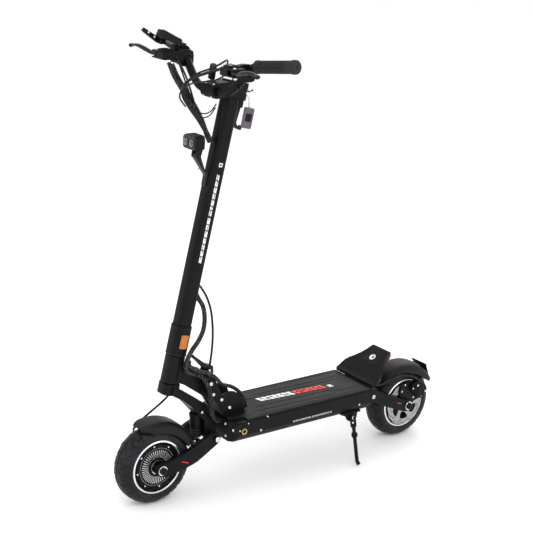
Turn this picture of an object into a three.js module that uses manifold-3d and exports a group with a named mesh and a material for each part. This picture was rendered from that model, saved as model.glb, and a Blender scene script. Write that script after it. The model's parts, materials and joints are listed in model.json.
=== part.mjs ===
// Electric kick scooter with two hub-motor wheels, sprung swing arms, a folding front end,
// a side kickstand and a full cockpit. Millimetres, +X forward, +Y left, +Z up, wheels on Z = 0.
import * as THREE from "three";
import { mergeVertices } from "three/addons/utils/BufferGeometryUtils.js";
import Module from "manifold-3d";

const wasm = await Module();
wasm.setup();

// ---------------------------------------------------------------- driving dimensions
const GAP = 0.3; // clearance between touching pieces of one body
const RUN = 0.45; // radial running clearance of everything that turns

const WHEELBASE = 896;
const REAR_AXLE_X = -447.3; // the origin lies under the middle of the whole machine
const FRONT_AXLE_X = REAR_AXLE_X + WHEELBASE;

const TYRE_R = 111;
const TYRE_HALF = 35;
const TREAD_HALF = 11;
const BEAD_R = 77;
const TYRE_SIDES = 40;
const AXLE_Z = TYRE_R * Math.cos(Math.PI / TYRE_SIDES); // a flat of the tread lies on the ground
const RIM_HALF = 31.5;
const MOTOR_R = 66;
const MOTOR_HALF = 22;
const AXLE_R = 6;
const DISC_R = 69.5;
const DISC_Y = 35.8;
const DISC_THICK = 2.2;

const RAKE = THREE.MathUtils.degToRad(11.85);
const STEER_GROUND_X = REAR_AXLE_X + 916.1; // where the steering axis meets the ground

const DECK_REAR = REAR_AXLE_X + 184;
const DECK_FRONT = REAR_AXLE_X + 693;
const DECK_HALF = 89.5;
const DECK_BOTTOM = 155;
const DECK_TOP = 217;
const LID_THICK = 4;
const SHELL_TOP = DECK_TOP - LID_THICK - GAP;

const ARM_IN = 45; // swing arm blades, inner and outer faces
const ARM_OUT = 58;

const FOLD_X = REAR_AXLE_X + 740.5;
const FOLD_Z = 327.3;
const CHEEK_IN = 29;
const CHEEK_OUT = 41;

const FRONT_PIVOT = [REAR_AXLE_X + 724.7, 167.1];
const REAR_PIVOT = [REAR_AXLE_X + 158, 176];

const STEM_U = 22.5; // half size of the stem tube along and across the machine
const STEM_Y = 21;
const STEM_CORNER = 15;
const STEM_WALL = 4.5;
const HEAD_U = 24;
const HEAD_Y = 23;
const HEAD_CORNER = 17;
const CROWN_TOP = 344; // heights along the steering axis
const HEAD_BOTTOM = 347;
const HEAD_TOP = 423;
const BASE_BOTTOM = 425;
const BASE_TOP = 508;
const STEM_TOP = 1126;
const CLAMP_TOP = 1172;
const STEERER_R = 14.2;
const HEAD_BORE_R = 20;

const BAR_U = 58; // bar centre in the clamp, ahead of the steering axis
const BAR_S = 1137;
const BAR_R = 11;
const GRIP_R = 16.5;
const GRIP_START = 172;
const GRIP_END = 302;
const PERCH_Y = 140;
const LEVER_PIVOT = [REAR_AXLE_X + 800, 178, 1197];

const KICK_PIVOT = [REAR_AXLE_X + 258, 92, 140];
const KICK_TILT = Math.atan2(36, 140);
const KICK_BOLT_R = 5;

const PORT_X = REAR_AXLE_X + 653.5; // charging socket on the left side of the deck
const PORT_Z = 184;
const PORT_R = 9;

const LATCH_PIVOT = [-112, 385]; // side view of the steering frame, as are the next two
const HOOK_PIVOT = [-33, 1114];
const BUTTON_S = 379;
const BUTTON_R = 5;
const PIN_R = 3; // small pivot pins of levers, hook, lamp and throttle

const SHOCK_TOP = [REAR_AXLE_X + 758, 0, 243]; // front shock eyes, then the rear ones
const FRONT_EYE = [REAR_AXLE_X + 753, 0, 144];
const REAR_SHOCK_TOP = [REAR_AXLE_X + 186, 0, 206];
const REAR_EYE = [REAR_AXLE_X + 128, 0, 198];
const SHOCK_BOLT_R = 5;
const ARM_PIN_R = 8;

const POD = { x: REAR_AXLE_X + 776, y: -160, z: 1238, tilt: -0.46 };
const THROTTLE_PIVOT = [REAR_AXLE_X + 786, 1228];
const KEY_X = REAR_AXLE_X + 706; // split ring of the key tags
const KEY_Z = 1132;
const KEY_Y = 113;
const CALIPER_Y = DISC_Y + DISC_THICK + 0.6;

// ---------------------------------------------------------------- materials
function finish(color, roughness, metalness) {
  return new THREE.MeshStandardMaterial({ color, roughness, metalness });
}
const BLACK_PAINT = finish(0x17181a, 0.5, 0.3);
const SATIN_ALLOY = finish(0x202124, 0.42, 0.6);
const BLACK_PLASTIC = finish(0x1b1b1d, 0.6, 0);
const RUBBER = finish(0x151515, 0.9, 0);
const TYRE = finish(0x1c1d1f, 0.88, 0);
const SILVER = finish(0xc4c6c8, 0.3, 0.9);
const STEEL = finish(0x9a9c9e, 0.35, 0.9);
const ORANGE = finish(0xe07a10, 0.3, 0);
const RED = finish(0xb01818, 0.4, 0);
const BRAID = finish(0x141414, 0.8, 0);
const CARD = finish(0x5a5460, 0.4, 0);

// ---------------------------------------------------------------- groups
const machine = new THREE.Group();
const steering = new THREE.Group(); // local Z is the steering axis, local X points forward
steering.position.set(STEER_GROUND_X, 0, 0);
steering.rotation.y = -RAKE;
machine.add(steering);
const kickstand = new THREE.Group(); // local Y is the kickstand pivot
kickstand.position.set(...KICK_PIVOT);
kickstand.rotation.x = KICK_TILT;
machine.add(kickstand);

function add(name, geometry, material, group = machine) {
  const mesh = new THREE.Mesh(geometry, material);
  mesh.name = name;
  group.add(mesh);
  return mesh;
}

// ---------------------------------------------------------------- solids
function toSolid(geometry) {
  const bare = new THREE.BufferGeometry();
  const source = geometry.index ? geometry.toNonIndexed() : geometry;
  bare.setAttribute("position", source.getAttribute("position").clone());
  const merged = mergeVertices(bare, 1e-4);
  const corners = merged.index.array;
  const kept = [];
  for (let i = 0; i < corners.length; i += 3) {
    const [a, b, c] = [corners[i], corners[i + 1], corners[i + 2]];
    if (a !== b && b !== c && a !== c) kept.push(a, b, c);
  }
  const vertProperties = merged.attributes.position.array;
  const mesh = new wasm.Mesh({ numProp: 3, vertProperties, triVerts: new Uint32Array(kept) });
  return new wasm.Manifold(mesh);
}

function toGeometry(solid) {
  const { vertProperties, triVerts } = solid.getMesh();
  const geometry = new THREE.BufferGeometry();
  geometry.setAttribute("position", new THREE.BufferAttribute(new Float32Array(vertProperties), 3));
  geometry.setIndex(new THREE.BufferAttribute(new Uint32Array(triVerts), 1));
  const faceted = geometry.toNonIndexed();
  faceted.computeVertexNormals();
  return faceted;
}

function join(...pieces) {
  return toGeometry(pieces.map(toSolid).reduce((whole, piece) => whole.add(piece)));
}

function cut(body, ...tools) {
  return toGeometry(tools.map(toSolid).reduce((whole, tool) => whole.subtract(tool), toSolid(body)));
}

function common(a, b) {
  return toGeometry(toSolid(a).intersect(toSolid(b)));
}

// ---------------------------------------------------------------- geometry helpers
const STEPS = 2; // segments of a rounded corner

// A closed outline through the points, each corner rounded by its own radius or the common one.
function outline(points, radius = 0) {
  const shape = new THREE.Shape();
  const at = (i) => new THREE.Vector2(...points[(i + points.length) % points.length].slice(0, 2));
  points.forEach((point, i) => {
    const here = at(i);
    const back = at(i - 1).sub(here);
    const ahead = at(i + 1).sub(here);
    const r = Math.min(point[2] ?? radius, back.length() * 0.48, ahead.length() * 0.48);
    const start = back.setLength(r).add(here);
    const end = ahead.setLength(r).add(here);
    if (i === 0) shape.moveTo(start.x, start.y);
    else shape.lineTo(start.x, start.y);
    if (r > 0) shape.quadraticCurveTo(here.x, here.y, end.x, end.y);
  });
  shape.closePath();
  return shape;
}

// Extrudes a side view (X, Z) across the machine from yMin to yMax.
function across(shape, yMin, yMax, steps = STEPS) {
  const settings = { depth: yMax - yMin, bevelEnabled: false, curveSegments: steps };
  const geometry = new THREE.ExtrudeGeometry(shape, settings);
  return geometry.rotateX(Math.PI / 2).translate(0, yMax, 0);
}

// Extrudes a front view (Y, Z) along the machine from xMin to xMax.
function along(shape, xMin, xMax, steps = STEPS) {
  const settings = { depth: xMax - xMin, bevelEnabled: false, curveSegments: steps };
  const geometry = new THREE.ExtrudeGeometry(shape, settings);
  return geometry.rotateX(Math.PI / 2).rotateZ(Math.PI / 2).translate(xMin, 0, 0);
}

// Extrudes a plan view (X, Y) upwards from zMin to zMax.
function upward(shape, zMin, zMax, steps = STEPS) {
  const settings = { depth: zMax - zMin, bevelEnabled: false, curveSegments: steps };
  return new THREE.ExtrudeGeometry(shape, settings).translate(0, 0, zMin);
}

function box(x0, x1, y0, y1, z0, z1) {
  const geometry = new THREE.BoxGeometry(x1 - x0, y1 - y0, z1 - z0);
  return geometry.translate((x0 + x1) / 2, (y0 + y1) / 2, (z0 + z1) / 2);
}

function roundRect(halfA, halfB, corner) {
  return outline([[halfA, -halfB], [halfA, halfB], [-halfA, halfB], [-halfA, -halfB]], corner);
}

// A round bar between two points.
function bar(from, to, radius, sides = 12) {
  const a = new THREE.Vector3(...from);
  const b = new THREE.Vector3(...to);
  const geometry = new THREE.CylinderGeometry(radius, radius, a.distanceTo(b), sides);
  const turn = new THREE.Quaternion().setFromUnitVectors(
    new THREE.Vector3(0, 1, 0),
    b.clone().sub(a).normalize(),
  );
  return geometry.applyQuaternion(turn).translate(...a.add(b).multiplyScalar(0.5).toArray());
}

// A cylinder along Y at a point of the side view.
function pin([x, z], yMin, yMax, radius, sides = 16) {
  return bar([x, yMin, z], [x, yMax, z], radius, sides);
}

// Turns a profile of [radius, height] points about the local Y axis.
function turned(profile, sides) {
  const points = profile.map(([r, y]) => new THREE.Vector2(r, y));
  return new THREE.LatheGeometry(points, sides);
}

// A tube along a smooth curve through the points.
function tube(points, radius, sides = 8, steps = 24) {
  const circle = new THREE.Shape();
  circle.absarc(0, 0, radius, 0, Math.PI * 2, false);
  const path = new THREE.CatmullRomCurve3(points.map((p) => new THREE.Vector3(...p)), false, "centripetal");
  const settings = { steps, extrudePath: path, bevelEnabled: false, curveSegments: sides / 2 };
  return new THREE.ExtrudeGeometry(circle, settings);
}

// A point of the side view, measured from the rear axle line, in machine coordinates.
const fromRear = ([x, z, r]) => (r === undefined ? [REAR_AXLE_X + x, z] : [REAR_AXLE_X + x, z, r]);
const fromRear3 = ([x, y, z]) => [REAR_AXLE_X + x, y, z];

// ---------------------------------------------------------------- deck
function deckShell() {
  const section = outline([
    [-DECK_HALF, SHELL_TOP], [-DECK_HALF, 173], [-80, DECK_BOTTOM],
    [80, DECK_BOTTOM], [DECK_HALF, 173], [DECK_HALF, SHELL_TOP],
  ], 2);
  const chamfer = 22;
  const plan = outline([
    [DECK_REAR, -DECK_HALF - 1], [DECK_FRONT - chamfer, -DECK_HALF - 1], [DECK_FRONT, -DECK_HALF + chamfer],
    [DECK_FRONT, DECK_HALF - chamfer], [DECK_FRONT - chamfer, DECK_HALF + 1], [DECK_REAR, DECK_HALF + 1],
  ]);
  const outer = common(along(section, DECK_REAR, DECK_FRONT, 2), upward(plan, DECK_BOTTOM - 5, DECK_TOP));
  const pocket = box(DECK_REAR + 24, DECK_FRONT - 50, -80, 80, DECK_BOTTOM + 5, DECK_TOP + 10);
  const portHole = bar([PORT_X, DECK_HALF - 20, PORT_Z], [PORT_X, DECK_HALF + 5, PORT_Z], PORT_R + GAP, 20);
  const tail = across(outline([
    [158, 158, 14], [138, 172, 16], [146, 194, 10], [168, 216, 6], [183.6, 216], [183.6, SHELL_TOP],
    [190, SHELL_TOP], [190, 160],
  ].map(fromRear)), -ARM_IN + 1, ARM_IN - 1);
  const shockSeat = box(REAR_AXLE_X + 130, REAR_SHOCK_TOP[0] + 11, -15, 15, 186, 240);
  const armPin = pin(REAR_PIVOT, -ARM_OUT - 8, ARM_OUT + 8, ARM_PIN_R);
  const shockBolt = pin([REAR_SHOCK_TOP[0], REAR_SHOCK_TOP[2]], -20, 20, SHOCK_BOLT_R);
  return join(cut(join(cut(outer, pocket, portHole), tail), shockSeat), armPin, shockBolt);
}

function deckLid() {
  const plan = outline([
    [DECK_REAR, -DECK_HALF + 1], [REAR_AXLE_X + 642, -DECK_HALF + 1],
    [REAR_AXLE_X + 642, DECK_HALF - 1], [DECK_REAR, DECK_HALF - 1],
  ], 4);
  const shockRoom = box(DECK_REAR - 1, REAR_SHOCK_TOP[0] + 12, -16, 16, 200, DECK_TOP - 1.4);
  return cut(upward(plan, DECK_TOP - LID_THICK, DECK_TOP, 2), shockRoom);
}

function chargePort() {
  const body = bar([PORT_X, DECK_HALF - 12, PORT_Z], [PORT_X, DECK_HALF + 2.5, PORT_Z], PORT_R, 20);
  const socket = bar([PORT_X, DECK_HALF - 6, PORT_Z], [PORT_X, DECK_HALF + 4, PORT_Z], PORT_R - 3, 16);
  return cut(body, socket);
}

// Base plate, two cheeks, the stop web between them and the fold pin.
function hingeBracket() {
  const base = upward(outline([
    [643, -76], [690, -62], [690, 62], [643, 76],
  ].map(([x, y]) => [REAR_AXLE_X + x, y]), 8), SHELL_TOP + GAP, 223);
  const side = outline([
    [690, 219, 0], [712, 258, 8], [730, 284, 12], [762, 324, 14], [752, 348, 14], [731, 350, 14],
    [713, 314, 10], [697, 280, 10], [668, 289, 16], [630, 274, 26], [618, 217.5, 0], [645, 217.5, 0], [645, 219, 0],
  ].map(fromRear));
  const left = across(side, CHEEK_IN, CHEEK_OUT);
  const right = across(side, -CHEEK_OUT, -CHEEK_IN);
  const web = across(outline([
    [688, 219], [704, 250], [717, 270, 3], [717, 289, 3], [700, 292, 4], [672, 262], [664, 219],
  ].map(fromRear)), -CHEEK_IN - 1, CHEEK_IN + 1);
  const foldPin = pin([FOLD_X, FOLD_Z], -CHEEK_OUT - 4, CHEEK_OUT + 4, 7.5);
  return join(base, left, right, web, foldPin);
}

// Ramped foot rest over the rear wheel: wide and low at the front, narrow and high at the rear.
function kickplate() {
  const ramp = outline([
    [185, 217.3, 0], [172, 217.3, 0], [132, 238, 10], [88, 268, 4], [80, 278, 3], [74, 294, 4],
    [80, 297, 3], [134, 260, 20], [172, 231, 12], [185, 226, 0],
  ].map(fromRear));
  const plan = outline([
    [185, -86, 6], [185, 86, 6], [150, 86, 14], [116, 52, 26], [84, 40, 8], [70, 36, 6],
    [70, -36, 6], [84, -40, 8], [116, -52, 26], [150, -86, 14],
  ].map(([x, y, r]) => [REAR_AXLE_X + x, y, r]));
  return common(across(ramp, -DECK_HALF - 2, DECK_HALF + 2), upward(plan, 210, 310));
}

function tailLight() {
  return across(outline([[76.5, 277], [80.5, 268.5], [84, 269.5], [78.6, 279.4]].map(fromRear)), -27, 27, 2);
}

function kickstandBracket() {
  const flange = box(REAR_AXLE_X + 222, REAR_AXLE_X + 292, 58, 84, DECK_BOTTOM - 5.5, DECK_BOTTOM - 0.3);
  const ear = outline([[-24, 16], [24, 16], [17, -8, 8], [-14, -12, 10]]);
  const plate = across(ear, -9, -4).rotateX(KICK_TILT).translate(...KICK_PIVOT);
  const bolt = bar([0, -10, 0], [0, 9, 0], KICK_BOLT_R, 16).rotateX(KICK_TILT).translate(...KICK_PIVOT);
  const gusset = box(REAR_AXLE_X + 236, REAR_AXLE_X + 280, 74, 83, 144, DECK_BOTTOM - 1);
  return join(flange, plate, gusset, bolt);
}

function deckParts() {
  add("deck_shell", deckShell(), BLACK_PAINT);
  add("deck_lid", deckLid(), RUBBER);
  const inside = [DECK_REAR + 28, -76, DECK_BOTTOM + 6];
  add("battery_pack", box(inside[0], inside[0] + 330, inside[1], 76, inside[2], inside[2] + 44), BLACK_PLASTIC);
  const board = inside[0] + 340;
  add("motor_controller", box(board, board + 86, -60, 60, inside[2], inside[2] + 38), SATIN_ALLOY);
  add("charge_port", chargePort(), STEEL);
  add("hinge_bracket", hingeBracket(), SATIN_ALLOY);
  add("kickplate", kickplate(), BLACK_PAINT);
  add("tail_light", tailLight(), RED);
  add("kickstand_bracket", kickstandBracket(), SATIN_ALLOY);
}

function kickstandLeg() {
  const lug = across(outline([[-10, 11, 9], [10, 11, 9], [9, -30, 4], [-9, -30, 4]]), -3.4, 3);
  const hole = bar([0, -6, 0], [0, 6, 0], KICK_BOLT_R + RUN, 16);
  const rod = bar([0, 0, -24], [0, 0, -132], 5.5, 12);
  const collar = turned([[0, -7], [8, -7], [9.5, -3], [9.5, 3], [8, 7], [0, 7]], 12).rotateX(Math.PI / 2);
  const footLength = 140 / Math.cos(KICK_TILT);
  const toe = bar([0, 0, -130], [0, 7, -footLength + 4], 5.5, 12);
  const leg = join(cut(lug, hole), rod, collar.translate(0, 0, -52), toe);
  const floor = box(-60, 60, -60, 90, -40, 0).translate(0, 0, -KICK_PIVOT[2]).rotateX(-KICK_TILT);
  return cut(leg, floor);
}

// ---------------------------------------------------------------- folding neck and latch
function neck() {
  const head = upward(roundRect(HEAD_U, HEAD_Y, HEAD_CORNER), HEAD_BOTTOM, HEAD_TOP, 4);
  const arm = across(outline([
    [-4, 353], [-30, 346.5], [-111, 311.5], [-134, 300, 6], [-126, 338, 6], [-123, 370, 16], [-100, 379, 10],
    [-24, 408, 8], [-4, 408],
  ]), -25, 25);
  const bore = bar([0, 0, HEAD_BOTTOM - 5], [0, 0, HEAD_TOP + 5], HEAD_BORE_R, 24);
  const fold = steerPoint(FOLD_X, FOLD_Z);
  const knuckleBore = pin(fold, -40, 40, 7.5 + RUN);
  const lug = (y) => across(outline([[-120, 372], [-103, 372], [-105, 392, 6], [-119, 392, 6]]), y, y + 5);
  const latchPin = pin(LATCH_PIVOT, -17, 17, PIN_R, 12);
  return join(cut(join(head, arm), bore, knuckleBore), lug(-16), lug(11), latchPin);
}

// Position of a machine side-view point in the steering frame.
function steerPoint(x, z) {
  const dx = x - STEER_GROUND_X;
  return [dx * Math.cos(RAKE) + z * Math.sin(RAKE), z * Math.cos(RAKE) - dx * Math.sin(RAKE)];
}

// Moves geometry given in machine coordinates into the steering frame.
function inSteering(geometry) {
  steering.updateMatrix();
  return geometry.applyMatrix4(steering.matrix.clone().invert());
}

function bearing(bottom) {
  const inner = STEERER_R + RUN;
  const outer = HEAD_BORE_R - GAP;
  const ring = [[inner, 0], [outer, 0], [outer, 12], [inner, 12], [inner, 0]];
  return turned(ring, 20).rotateX(Math.PI / 2).translate(0, 0, bottom);
}

function latchLever() {
  const body = across(outline([
    [-143, 331, 2], [-136, 331, 2], [-127, 350, 8], [-124, 372, 6], [-98, 388, 6], [-58, 416, 2],
    [-60, 422, 2], [-104, 400, 8], [-127, 398, 6], [-131, 376, 6], [-145, 348, 8],
  ]), -10.4, 10.4);
  const hole = pin(LATCH_PIVOT, -20, 20, PIN_R + RUN, 12);
  const buttonWell = bar([-140, 0, BUTTON_S], [-121, 0, BUTTON_S], BUTTON_R + RUN);
  return cut(body, hole, buttonWell);
}

function neckParts() {
  add("neck", neck(), BLACK_PAINT, steering);
  add("head_bearing_lower", bearing(HEAD_BOTTOM + 1), STEEL, steering);
  add("head_bearing_upper", bearing(HEAD_TOP - 13), STEEL, steering);
  add("latch_lever", latchLever(), SATIN_ALLOY, steering);
  add("safety_button", bar([-134, 0, BUTTON_S], [-126, 0, BUTTON_S], BUTTON_R), RED, steering);
}

// ---------------------------------------------------------------- fork and stem
// Crown, lower diagonal, C-shaped leg with the swing arm pivot, and the steerer shaft.
function fork() {
  const pivot = steerPoint(...FRONT_PIVOT);
  const crown = upward(roundRect(HEAD_U + 1, HEAD_Y + 2, HEAD_CORNER), 314, CROWN_TOP, 4);
  const diagonal = across(outline([
    [4, 316], [4, 340], [-24, 332], [-102, 298, 8], [-128, 287, 10], [-160, 250, 16],
    [pivot[0] - 16, pivot[1] + 8, 12], [pivot[0] - 14, pivot[1] - 16, 14], [pivot[0] + 16, pivot[1] - 15, 14],
    [pivot[0] + 22, pivot[1] + 12, 10], [-124, 243, 8], [-69, 284, 6], [-38, 301, 8],
  ]), -30, 30);
  const eyeX = SHOCK_TOP[0];
  const eye = steerPoint(eyeX, SHOCK_TOP[2]);
  const bay = inSteering(box(eyeX - 20, eyeX + 40, -19, 19, 140, 237));
  const slot = inSteering(box(eyeX - 14, eyeX + 18, -9.5, 9.5, 200, 258));
  const shockPin = pin(eye, -33, 33, SHOCK_BOLT_R);
  const boss = pin(pivot, -ARM_IN + 1, ARM_IN - 1, 11);
  const armPin = pin(pivot, -ARM_OUT - 8, ARM_OUT + 8, ARM_PIN_R);
  const steerer = bar([0, 0, CROWN_TOP - 6], [0, 0, BASE_TOP - 8], STEERER_R, 24);
  return join(cut(join(crown, diagonal), bay, slot), shockPin, boss, armPin, steerer);
}

function stemBase() {
  const block = upward(roundRect(HEAD_U + 1, HEAD_Y + 0.5, HEAD_CORNER), BASE_BOTTOM, BASE_TOP, 4);
  const bore = bar([0, 0, BASE_BOTTOM - 2], [0, 0, BASE_TOP - 7], STEERER_R + GAP, 24);
  const split = box(-40, -10, -1.2, 1.2, BASE_BOTTOM - 1, BASE_TOP - 20);
  return cut(block, bore, split);
}

function reflector(side) {
  const face = HEAD_Y + 0.5 + GAP;
  const panel = outline([[-11, 447, 3], [11, 447, 3], [11, 485, 3], [-11, 485, 3]]);
  return across(panel, side > 0 ? face : -face - 4, side > 0 ? face + 4 : -face, 2);
}

function stemTube() {
  const outer = upward(roundRect(STEM_U, STEM_Y, STEM_CORNER), BASE_TOP + GAP, STEM_TOP);
  const inner = upward(roundRect(STEM_U - STEM_WALL, STEM_Y - STEM_WALL, STEM_CORNER - STEM_WALL), BASE_TOP - 5, STEM_TOP + 5);
  return cut(outer, inner);
}

const LIGHT_PIVOT = steerPoint(REAR_AXLE_X + 784, 958);

function headlightBracket() {
  const side = outline([
    [STEM_U + GAP, 925], [STEM_U + GAP, 888, 2], [STEM_U + 5, 888, 2], [STEM_U + 6, 916, 4],
    [LIGHT_PIVOT[0] + 6, LIGHT_PIVOT[1] - 7, 4], [LIGHT_PIVOT[0] + 6, LIGHT_PIVOT[1] + 5, 4],
    [LIGHT_PIVOT[0] - 6, LIGHT_PIVOT[1] + 5, 4], [STEM_U + 12, 928, 6],
  ]);
  return join(across(side, -8, 8), pin(LIGHT_PIVOT, -13, 13, PIN_R, 12));
}

function headlight() {
  const centre = steerPoint(REAR_AXLE_X + 793, 994);
  const shape = roundRect(29, 19, 12);
  const shell = along(shape, -16, 16).rotateY(RAKE).translate(centre[0], 0, centre[1]);
  const lensPocket = along(roundRect(25, 15, 10), 13, 20).rotateY(RAKE).translate(centre[0], 0, centre[1]);
  const ear = (y) => across(outline([
    [LIGHT_PIVOT[0] - 7, LIGHT_PIVOT[1] - 7, 6], [LIGHT_PIVOT[0] + 7, LIGHT_PIVOT[1] - 7, 6],
    [LIGHT_PIVOT[0] + 9, LIGHT_PIVOT[1] + 20], [LIGHT_PIVOT[0] - 9, LIGHT_PIVOT[1] + 20],
  ]), y, y + 4);
  const pinHole = pin(LIGHT_PIVOT, -16, 16, PIN_R + RUN, 12);
  return cut(join(shell, ear(8.5), ear(-12.5)), lensPocket, pinHole);
}

function steeringParts() {
  add("fork", fork(), BLACK_PAINT, steering);
  add("stem_base", stemBase(), BLACK_PAINT, steering);
  add("reflector_left", reflector(1), ORANGE, steering);
  add("reflector_right", reflector(-1), ORANGE, steering);
  add("stem_tube", stemTube(), BLACK_PAINT, steering);
  add("headlight_bracket", headlightBracket(), SATIN_ALLOY, steering);
  add("headlight", headlight(), BLACK_PLASTIC, steering);
}

// ---------------------------------------------------------------- cockpit
// Half of the bar's centre line on the left; the right half mirrors it.
const BAR_LINE = [
  [BAR_U, 34, BAR_S], [BAR_U, 58, BAR_S + 2], [59, 84, 1151], [61, 112, 1174], [63, 136, 1197],
  [64.7, 156, 1215.5], [64.7, GRIP_START, 1221], [60.5, 204, 1226.25], [56.3, 236, 1231.5],
];
const BAR_TIP = [48, GRIP_END - 2, 1242];

// Room for the bar in the parts clamped to one half of it, in machine coordinates.
function barRoom(side, radius) {
  steering.updateMatrix();
  const line = BAR_LINE.slice(2).map(([u, y, s]) => [u, side * y, s]);
  return tube(line, radius, 16, 24).applyMatrix4(steering.matrix);
}

function handlebar() {
  const mirrored = ([u, y, s]) => [u, -y, s];
  const line = [
    mirrored(BAR_TIP), ...BAR_LINE.map(mirrored).reverse(), [BAR_U, 0, BAR_S], ...BAR_LINE, BAR_TIP,
  ];
  return tube(line, BAR_R, 10, 48);
}

function barClamp() {
  const block = upward(roundRect(31, 24, 9), STEM_TOP + GAP, CLAMP_TOP, 4).translate(-7, 0, 0);
  const mouth = across(outline([
    [16, STEM_TOP + GAP, 0], [25, STEM_TOP + GAP, 0], [BAR_U + 10, BAR_S - 21, 8], [BAR_U + 21, BAR_S - 10, 8],
    [BAR_U + 21, BAR_S + 10, 8], [BAR_U + 8, BAR_S + 21, 8], [16, CLAMP_TOP - 2, 0],
  ]), -27, 27);
  const barHole = pin([BAR_U, BAR_S], -40, 40, BAR_R + GAP + 0.3, 20);
  const ear = (y) => across(outline([
    [-39, 1106, 4], [-26.5, 1106, 3], [-24, STEM_TOP + 3], [-38, STEM_TOP + 3],
  ]), y, y + 4);
  const hookPin = pin(HOOK_PIVOT, -11, 11, PIN_R, 12);
  return join(cut(join(block, mouth), barHole), ear(7), ear(-11), hookPin);
}

function foldingHook() {
  const side = outline([
    [-38.5, 1120, 3], [-28, 1120, 3], [-27, 1062, 2], [-34, 1050, 5], [-52, 1047, 3], [-56, 1060, 2],
    [-51, 1061, 2], [-47, 1055, 2], [-37, 1058, 4], [-33, 1066, 2],
  ]);
  return cut(across(side, -6, 6), pin(HOOK_PIVOT, -9, 9, PIN_R + RUN, 12));
}

function grip(side) {
  const direction = [BAR_TIP[0] - 64.7, (BAR_TIP[1] - GRIP_START), BAR_TIP[2] - 1221];
  const length = Math.hypot(...direction);
  const start = [64.7, GRIP_START + 1, 1221];
  const profile = [
    [BAR_R + GAP + 0.4, 0], [GRIP_R + 2, 0], [GRIP_R + 2, 5], [GRIP_R - 0.5, 8], [GRIP_R, length * 0.5],
    [GRIP_R - 0.5, length - 8], [GRIP_R + 1, length - 4], [GRIP_R + 1, length + 2], [GRIP_R - 2, length + 4.5],
    [0, length + 4.5], [0, length + 1.5], [BAR_R + GAP + 0.4, length + 1.5], [BAR_R + GAP + 0.4, 0],
  ];
  const sleeve = turned(profile, 16);
  const unit = new THREE.Vector3(direction[0], side * direction[1], direction[2]).normalize();
  sleeve.applyQuaternion(new THREE.Quaternion().setFromUnitVectors(new THREE.Vector3(0, 1, 0), unit));
  return sleeve.translate(start[0], side * start[1], start[2]);
}

// Clamp ring, reservoir body and clevis of a brake lever.
function leverPerch(side) {
  const clamp = across(outline([
    [714, 1168, 10], [748, 1166, 9], [770, 1184, 5], [790, 1186], [790, 1208], [770, 1208, 6], [750, 1213, 9],
    [714, 1209, 10],
  ].map(fromRear)), PERCH_Y - 8, PERCH_Y + 8);
  const nose = across(outline([
    [772, 1186, 5], [811, 1186, 5], [811, 1208, 5], [772, 1208, 5],
  ].map(fromRear)), PERCH_Y - 9, LEVER_PIVOT[1] + 9, 3);
  const [x, y] = LEVER_PIVOT;
  const slot = box(x - 13, x + 20, y - 16, y + 20, 1190.6, 1203.4);
  const pivotPin = bar([x, y, 1187], [x, y, 1207], PIN_R, 12);
  const perch = join(cut(join(clamp, nose), barRoom(1, BAR_R + GAP + 1), slot), pivotPin);
  return side > 0 ? perch : mirrorY(perch);
}

function mirrorY(geometry) {
  return toGeometry(toSolid(geometry).mirror([0, 1, 0]));
}

function brakeLever(side) {
  const [x, y, z] = LEVER_PIVOT;
  const knuckle = bar([x, y, z - 6], [x, y, z + 6], 8, 16);
  const blade = tube([
    [x, y + 2, z], [x + 3, y + 18, z], [x + 9, y + 45, z + 7], [x + 11, y + 75, z + 12],
    [x + 11, y + 98, z + 11], [x + 13, y + 112, z + 8],
  ], 6, 8, 14);
  const hole = bar([x, y, z - 20], [x, y, z + 20], PIN_R + RUN, 12);
  const lever = cut(join(knuckle, blade), hole);
  return side > 0 ? lever : mirrorY(lever);
}

// Places geometry from the display's own frame, whose Z is the screen's normal.
function onPod(geometry) {
  return geometry.rotateY(POD.tilt).translate(POD.x, POD.y, POD.z);
}

function displayPod() {
  const screen = onPod(upward(roundRect(33, 22, 13), -8, 10));
  const ring = bar([REAR_AXLE_X + 730.3, -170, 1205], [REAR_AXLE_X + 730.3, -153, 1201], 19, 20);
  const neckBlock = box(REAR_AXLE_X + 724, REAR_AXLE_X + 760, -169, -154, 1204, 1224);
  const throttleEar = box(REAR_AXLE_X + 779, REAR_AXLE_X + 793, -181, -170, 1222, 1238);
  const barHole = barRoom(-1, BAR_R + GAP + 1);
  const buttonWell = onPod(bar([-24, -14, 6], [-24, -14, 20], BUTTON_R + RUN));
  const throttlePin = pin(THROTTLE_PIVOT, -197, -172, PIN_R, 12);
  return join(cut(join(screen, ring, neckBlock, throttleEar), barHole, buttonWell), throttlePin);
}

function throttlePaddle() {
  const [x, z] = THROTTLE_PIVOT;
  const side = outline([[x - 6, z - 5, 4], [x + 5, z - 6, 4], [x + 54, z + 28, 3], [x + 49, z + 36, 3], [x - 4, z + 6, 4]]);
  return cut(across(side, -196, -185.4), pin(THROTTLE_PIVOT, -200, -170, PIN_R + RUN, 12));
}

// Split ring with two flat tags hanging from it.
function keyTags() {
  const ring = new THREE.TorusGeometry(9, 1.6, 6, 16).rotateY(Math.PI / 2).translate(KEY_X, KEY_Y, KEY_Z);
  const tag = (y, turn, x) => {
    const plan = upward(roundRect(14, 27, 5), -1.6, 1.6, 3).rotateX(Math.PI / 2).rotateZ(turn).rotateY(-0.19);
    return plan.translate(KEY_X + x, y, KEY_Z - 62);
  };
  const strap = (y, x) => box(KEY_X + x - 3, KEY_X + x + 3, y - 1.4, y + 1.4, KEY_Z - 37, KEY_Z - 7);
  return join(ring, strap(108, 0), strap(116, 1), tag(108, 0.1, 1), tag(116, -0.12, 2));
}

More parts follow.
